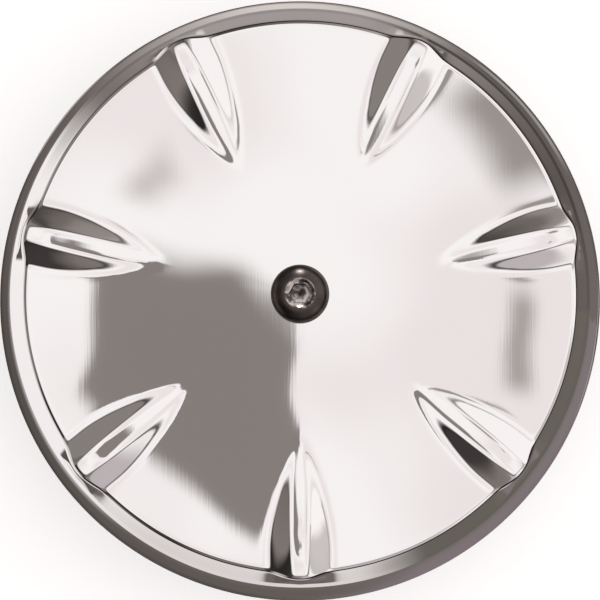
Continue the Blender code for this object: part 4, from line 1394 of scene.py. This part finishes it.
# The white sheets overhead are a little creased.
creases = add_node(sky, "ShaderNodeTexNoise", {"Vector": direction, "Scale": 2.6, "Detail": 1.0})
crease = add_node(
    sky,
    "ShaderNodeMapRange",
    {"Value": creases.outputs["Fac"], "From Min": 0.40, "From Max": 0.64},
    interpolation_type="SMOOTHSTEP",
)
sheets = add_node(
    sky,
    "ShaderNodeMix",
    {"Factor": crease.outputs[0], 6: linear("f8f6f5"), 7: linear("ece5e5")},
    data_type="RGBA",
)

# Flags hung overhead. Each is a shade and its edges: what is measured, where the edge is, and
# how soft; a softness below zero marks an edge that the flag lies before. The first is the
# large grey one to the lower left, with a slanted corner. The others are thin strips.
slant = add_node(
    sky, "ShaderNodeVectorMath", {0: hung.outputs[0], 1: (0.622, 0.783, 0)}, operation="DOT_PRODUCT"
)
corner = add_node(
    sky, "ShaderNodeVectorMath", {0: hung.outputs[0], 1: (-1, -1, 0)}, operation="DOT_PRODUCT"
)
level = add_node(
    sky, "ShaderNodeVectorMath", {0: hung.outputs[0], 1: (1, 1, 0)}, operation="MULTIPLY"
)
spread = add_node(
    sky, "ShaderNodeVectorMath", {0: level.outputs[0]}, operation="LENGTH"
).outputs["Value"]
flags = [
    (sheets.outputs[2], [(up, 0.67, 0.05)]),
    (
        linear("857f7c"),
        [
            (east, -0.325, 0.012),
            (east, -0.002, -0.004),
            (north, -0.43, 0.03),
            (north, 0.105, -0.03),
            (slant.outputs["Value"], -0.30, 0.02),
            (corner.outputs["Value"], -0.005, 0.05),
            (up, 0.7, 0.05),
        ],
    ),
]
for start, stop, near, far, soft, shade in (
    (32, 56, 0.40, 0.54, 0.03, "9a9491"),
    (344, 372, 0.325, 0.365, 0.018, "a8a19e"),
    (127, 142, 0.28, 0.34, 0.03, "cdc7c5"),
):
    swung = add_node(sky, "ShaderNodeMath", {0: bearing, 1: 0.5 - start / 360})
    swung = add_node(sky, "ShaderNodeMath", {0: swung.outputs[0]}, operation="FRACT").outputs[0]
    edges = [(spread, near, soft), (spread, far, -soft)]
    edges += [(swung, 0.5, 0.014), (swung, 0.5 + (stop - start) / 360, -0.014)]
    flags.append((linear(shade), edges))
for shade, edges in flags:
    mask = 1.0
    for value, edge, soft in edges:
        step = add_node(
            sky,
            "ShaderNodeMapRange",
            {"Value": value, "From Min": edge - soft, "From Max": edge + soft},
            interpolation_type="SMOOTHSTEP",
        )
        mask = add_node(
            sky, "ShaderNodeMath", {0: mask, 1: step.outputs[0]}, operation="MULTIPLY"
        ).outputs[0]
    surround = add_node(
        sky, "ShaderNodeMix", {"Factor": mask, 6: surround, 7: shade}, data_type="RGBA"
    ).outputs[2]
glow = add_node(sky, "ShaderNodeBackground", {"Color": surround, "Strength": 1.06})
out = add_node(sky, "ShaderNodeOutputWorld", {"Surface": glow.outputs[0]})

bpy.context.scene.view_settings.view_transform = "Standard"

# One small soft lamp behind the cover's upper edge gives the bolt its highlight.
lamp_data = bpy.data.lights.new("small_softbox", "AREA")
lamp_data.shape = "DISK"
lamp_data.size = 0.10
lamp_data.energy = 1.5
lamp = bpy.data.objects.new("small_softbox", lamp_data)
bpy.context.collection.objects.link(lamp)
lamp.location = (0, 0.62, 0.30)
lit = bpy.data.collections.new("lit_by_small_softbox")
lit.objects.link(cover_bolt)
lamp.light_linking.receiver_collection = lit
lamp.rotation_mode = "QUATERNION"
lamp.rotation_quaternion = (lamp.location - Vector((0, 0, 0.09))).to_track_quat("Z", "Y")

# The camera looks almost straight down on the cover, from slightly below its middle.
camera_data = bpy.data.cameras.new("camera")
camera = bpy.data.objects.new("camera", camera_data)
bpy.context.collection.objects.link(camera)
bpy.context.scene.camera = camera
lean = math.radians(2.9)
distance = 1.1
rim_z = 56 * mm
aim = Vector((0, 0, rim_z))
back = Vector((0, -math.sin(lean), math.cos(lean)))
camera.location = aim + back * distance
camera.rotation_mode = "QUATERNION"
camera.rotation_quaternion = (-back).to_track_quat("-Z", "Y")
camera_data.sensor_width = 36.0
camera_data.lens = camera_data.sensor_width / 2 * distance / (cover_r * 0.9987)
camera_data.clip_start = 0.01
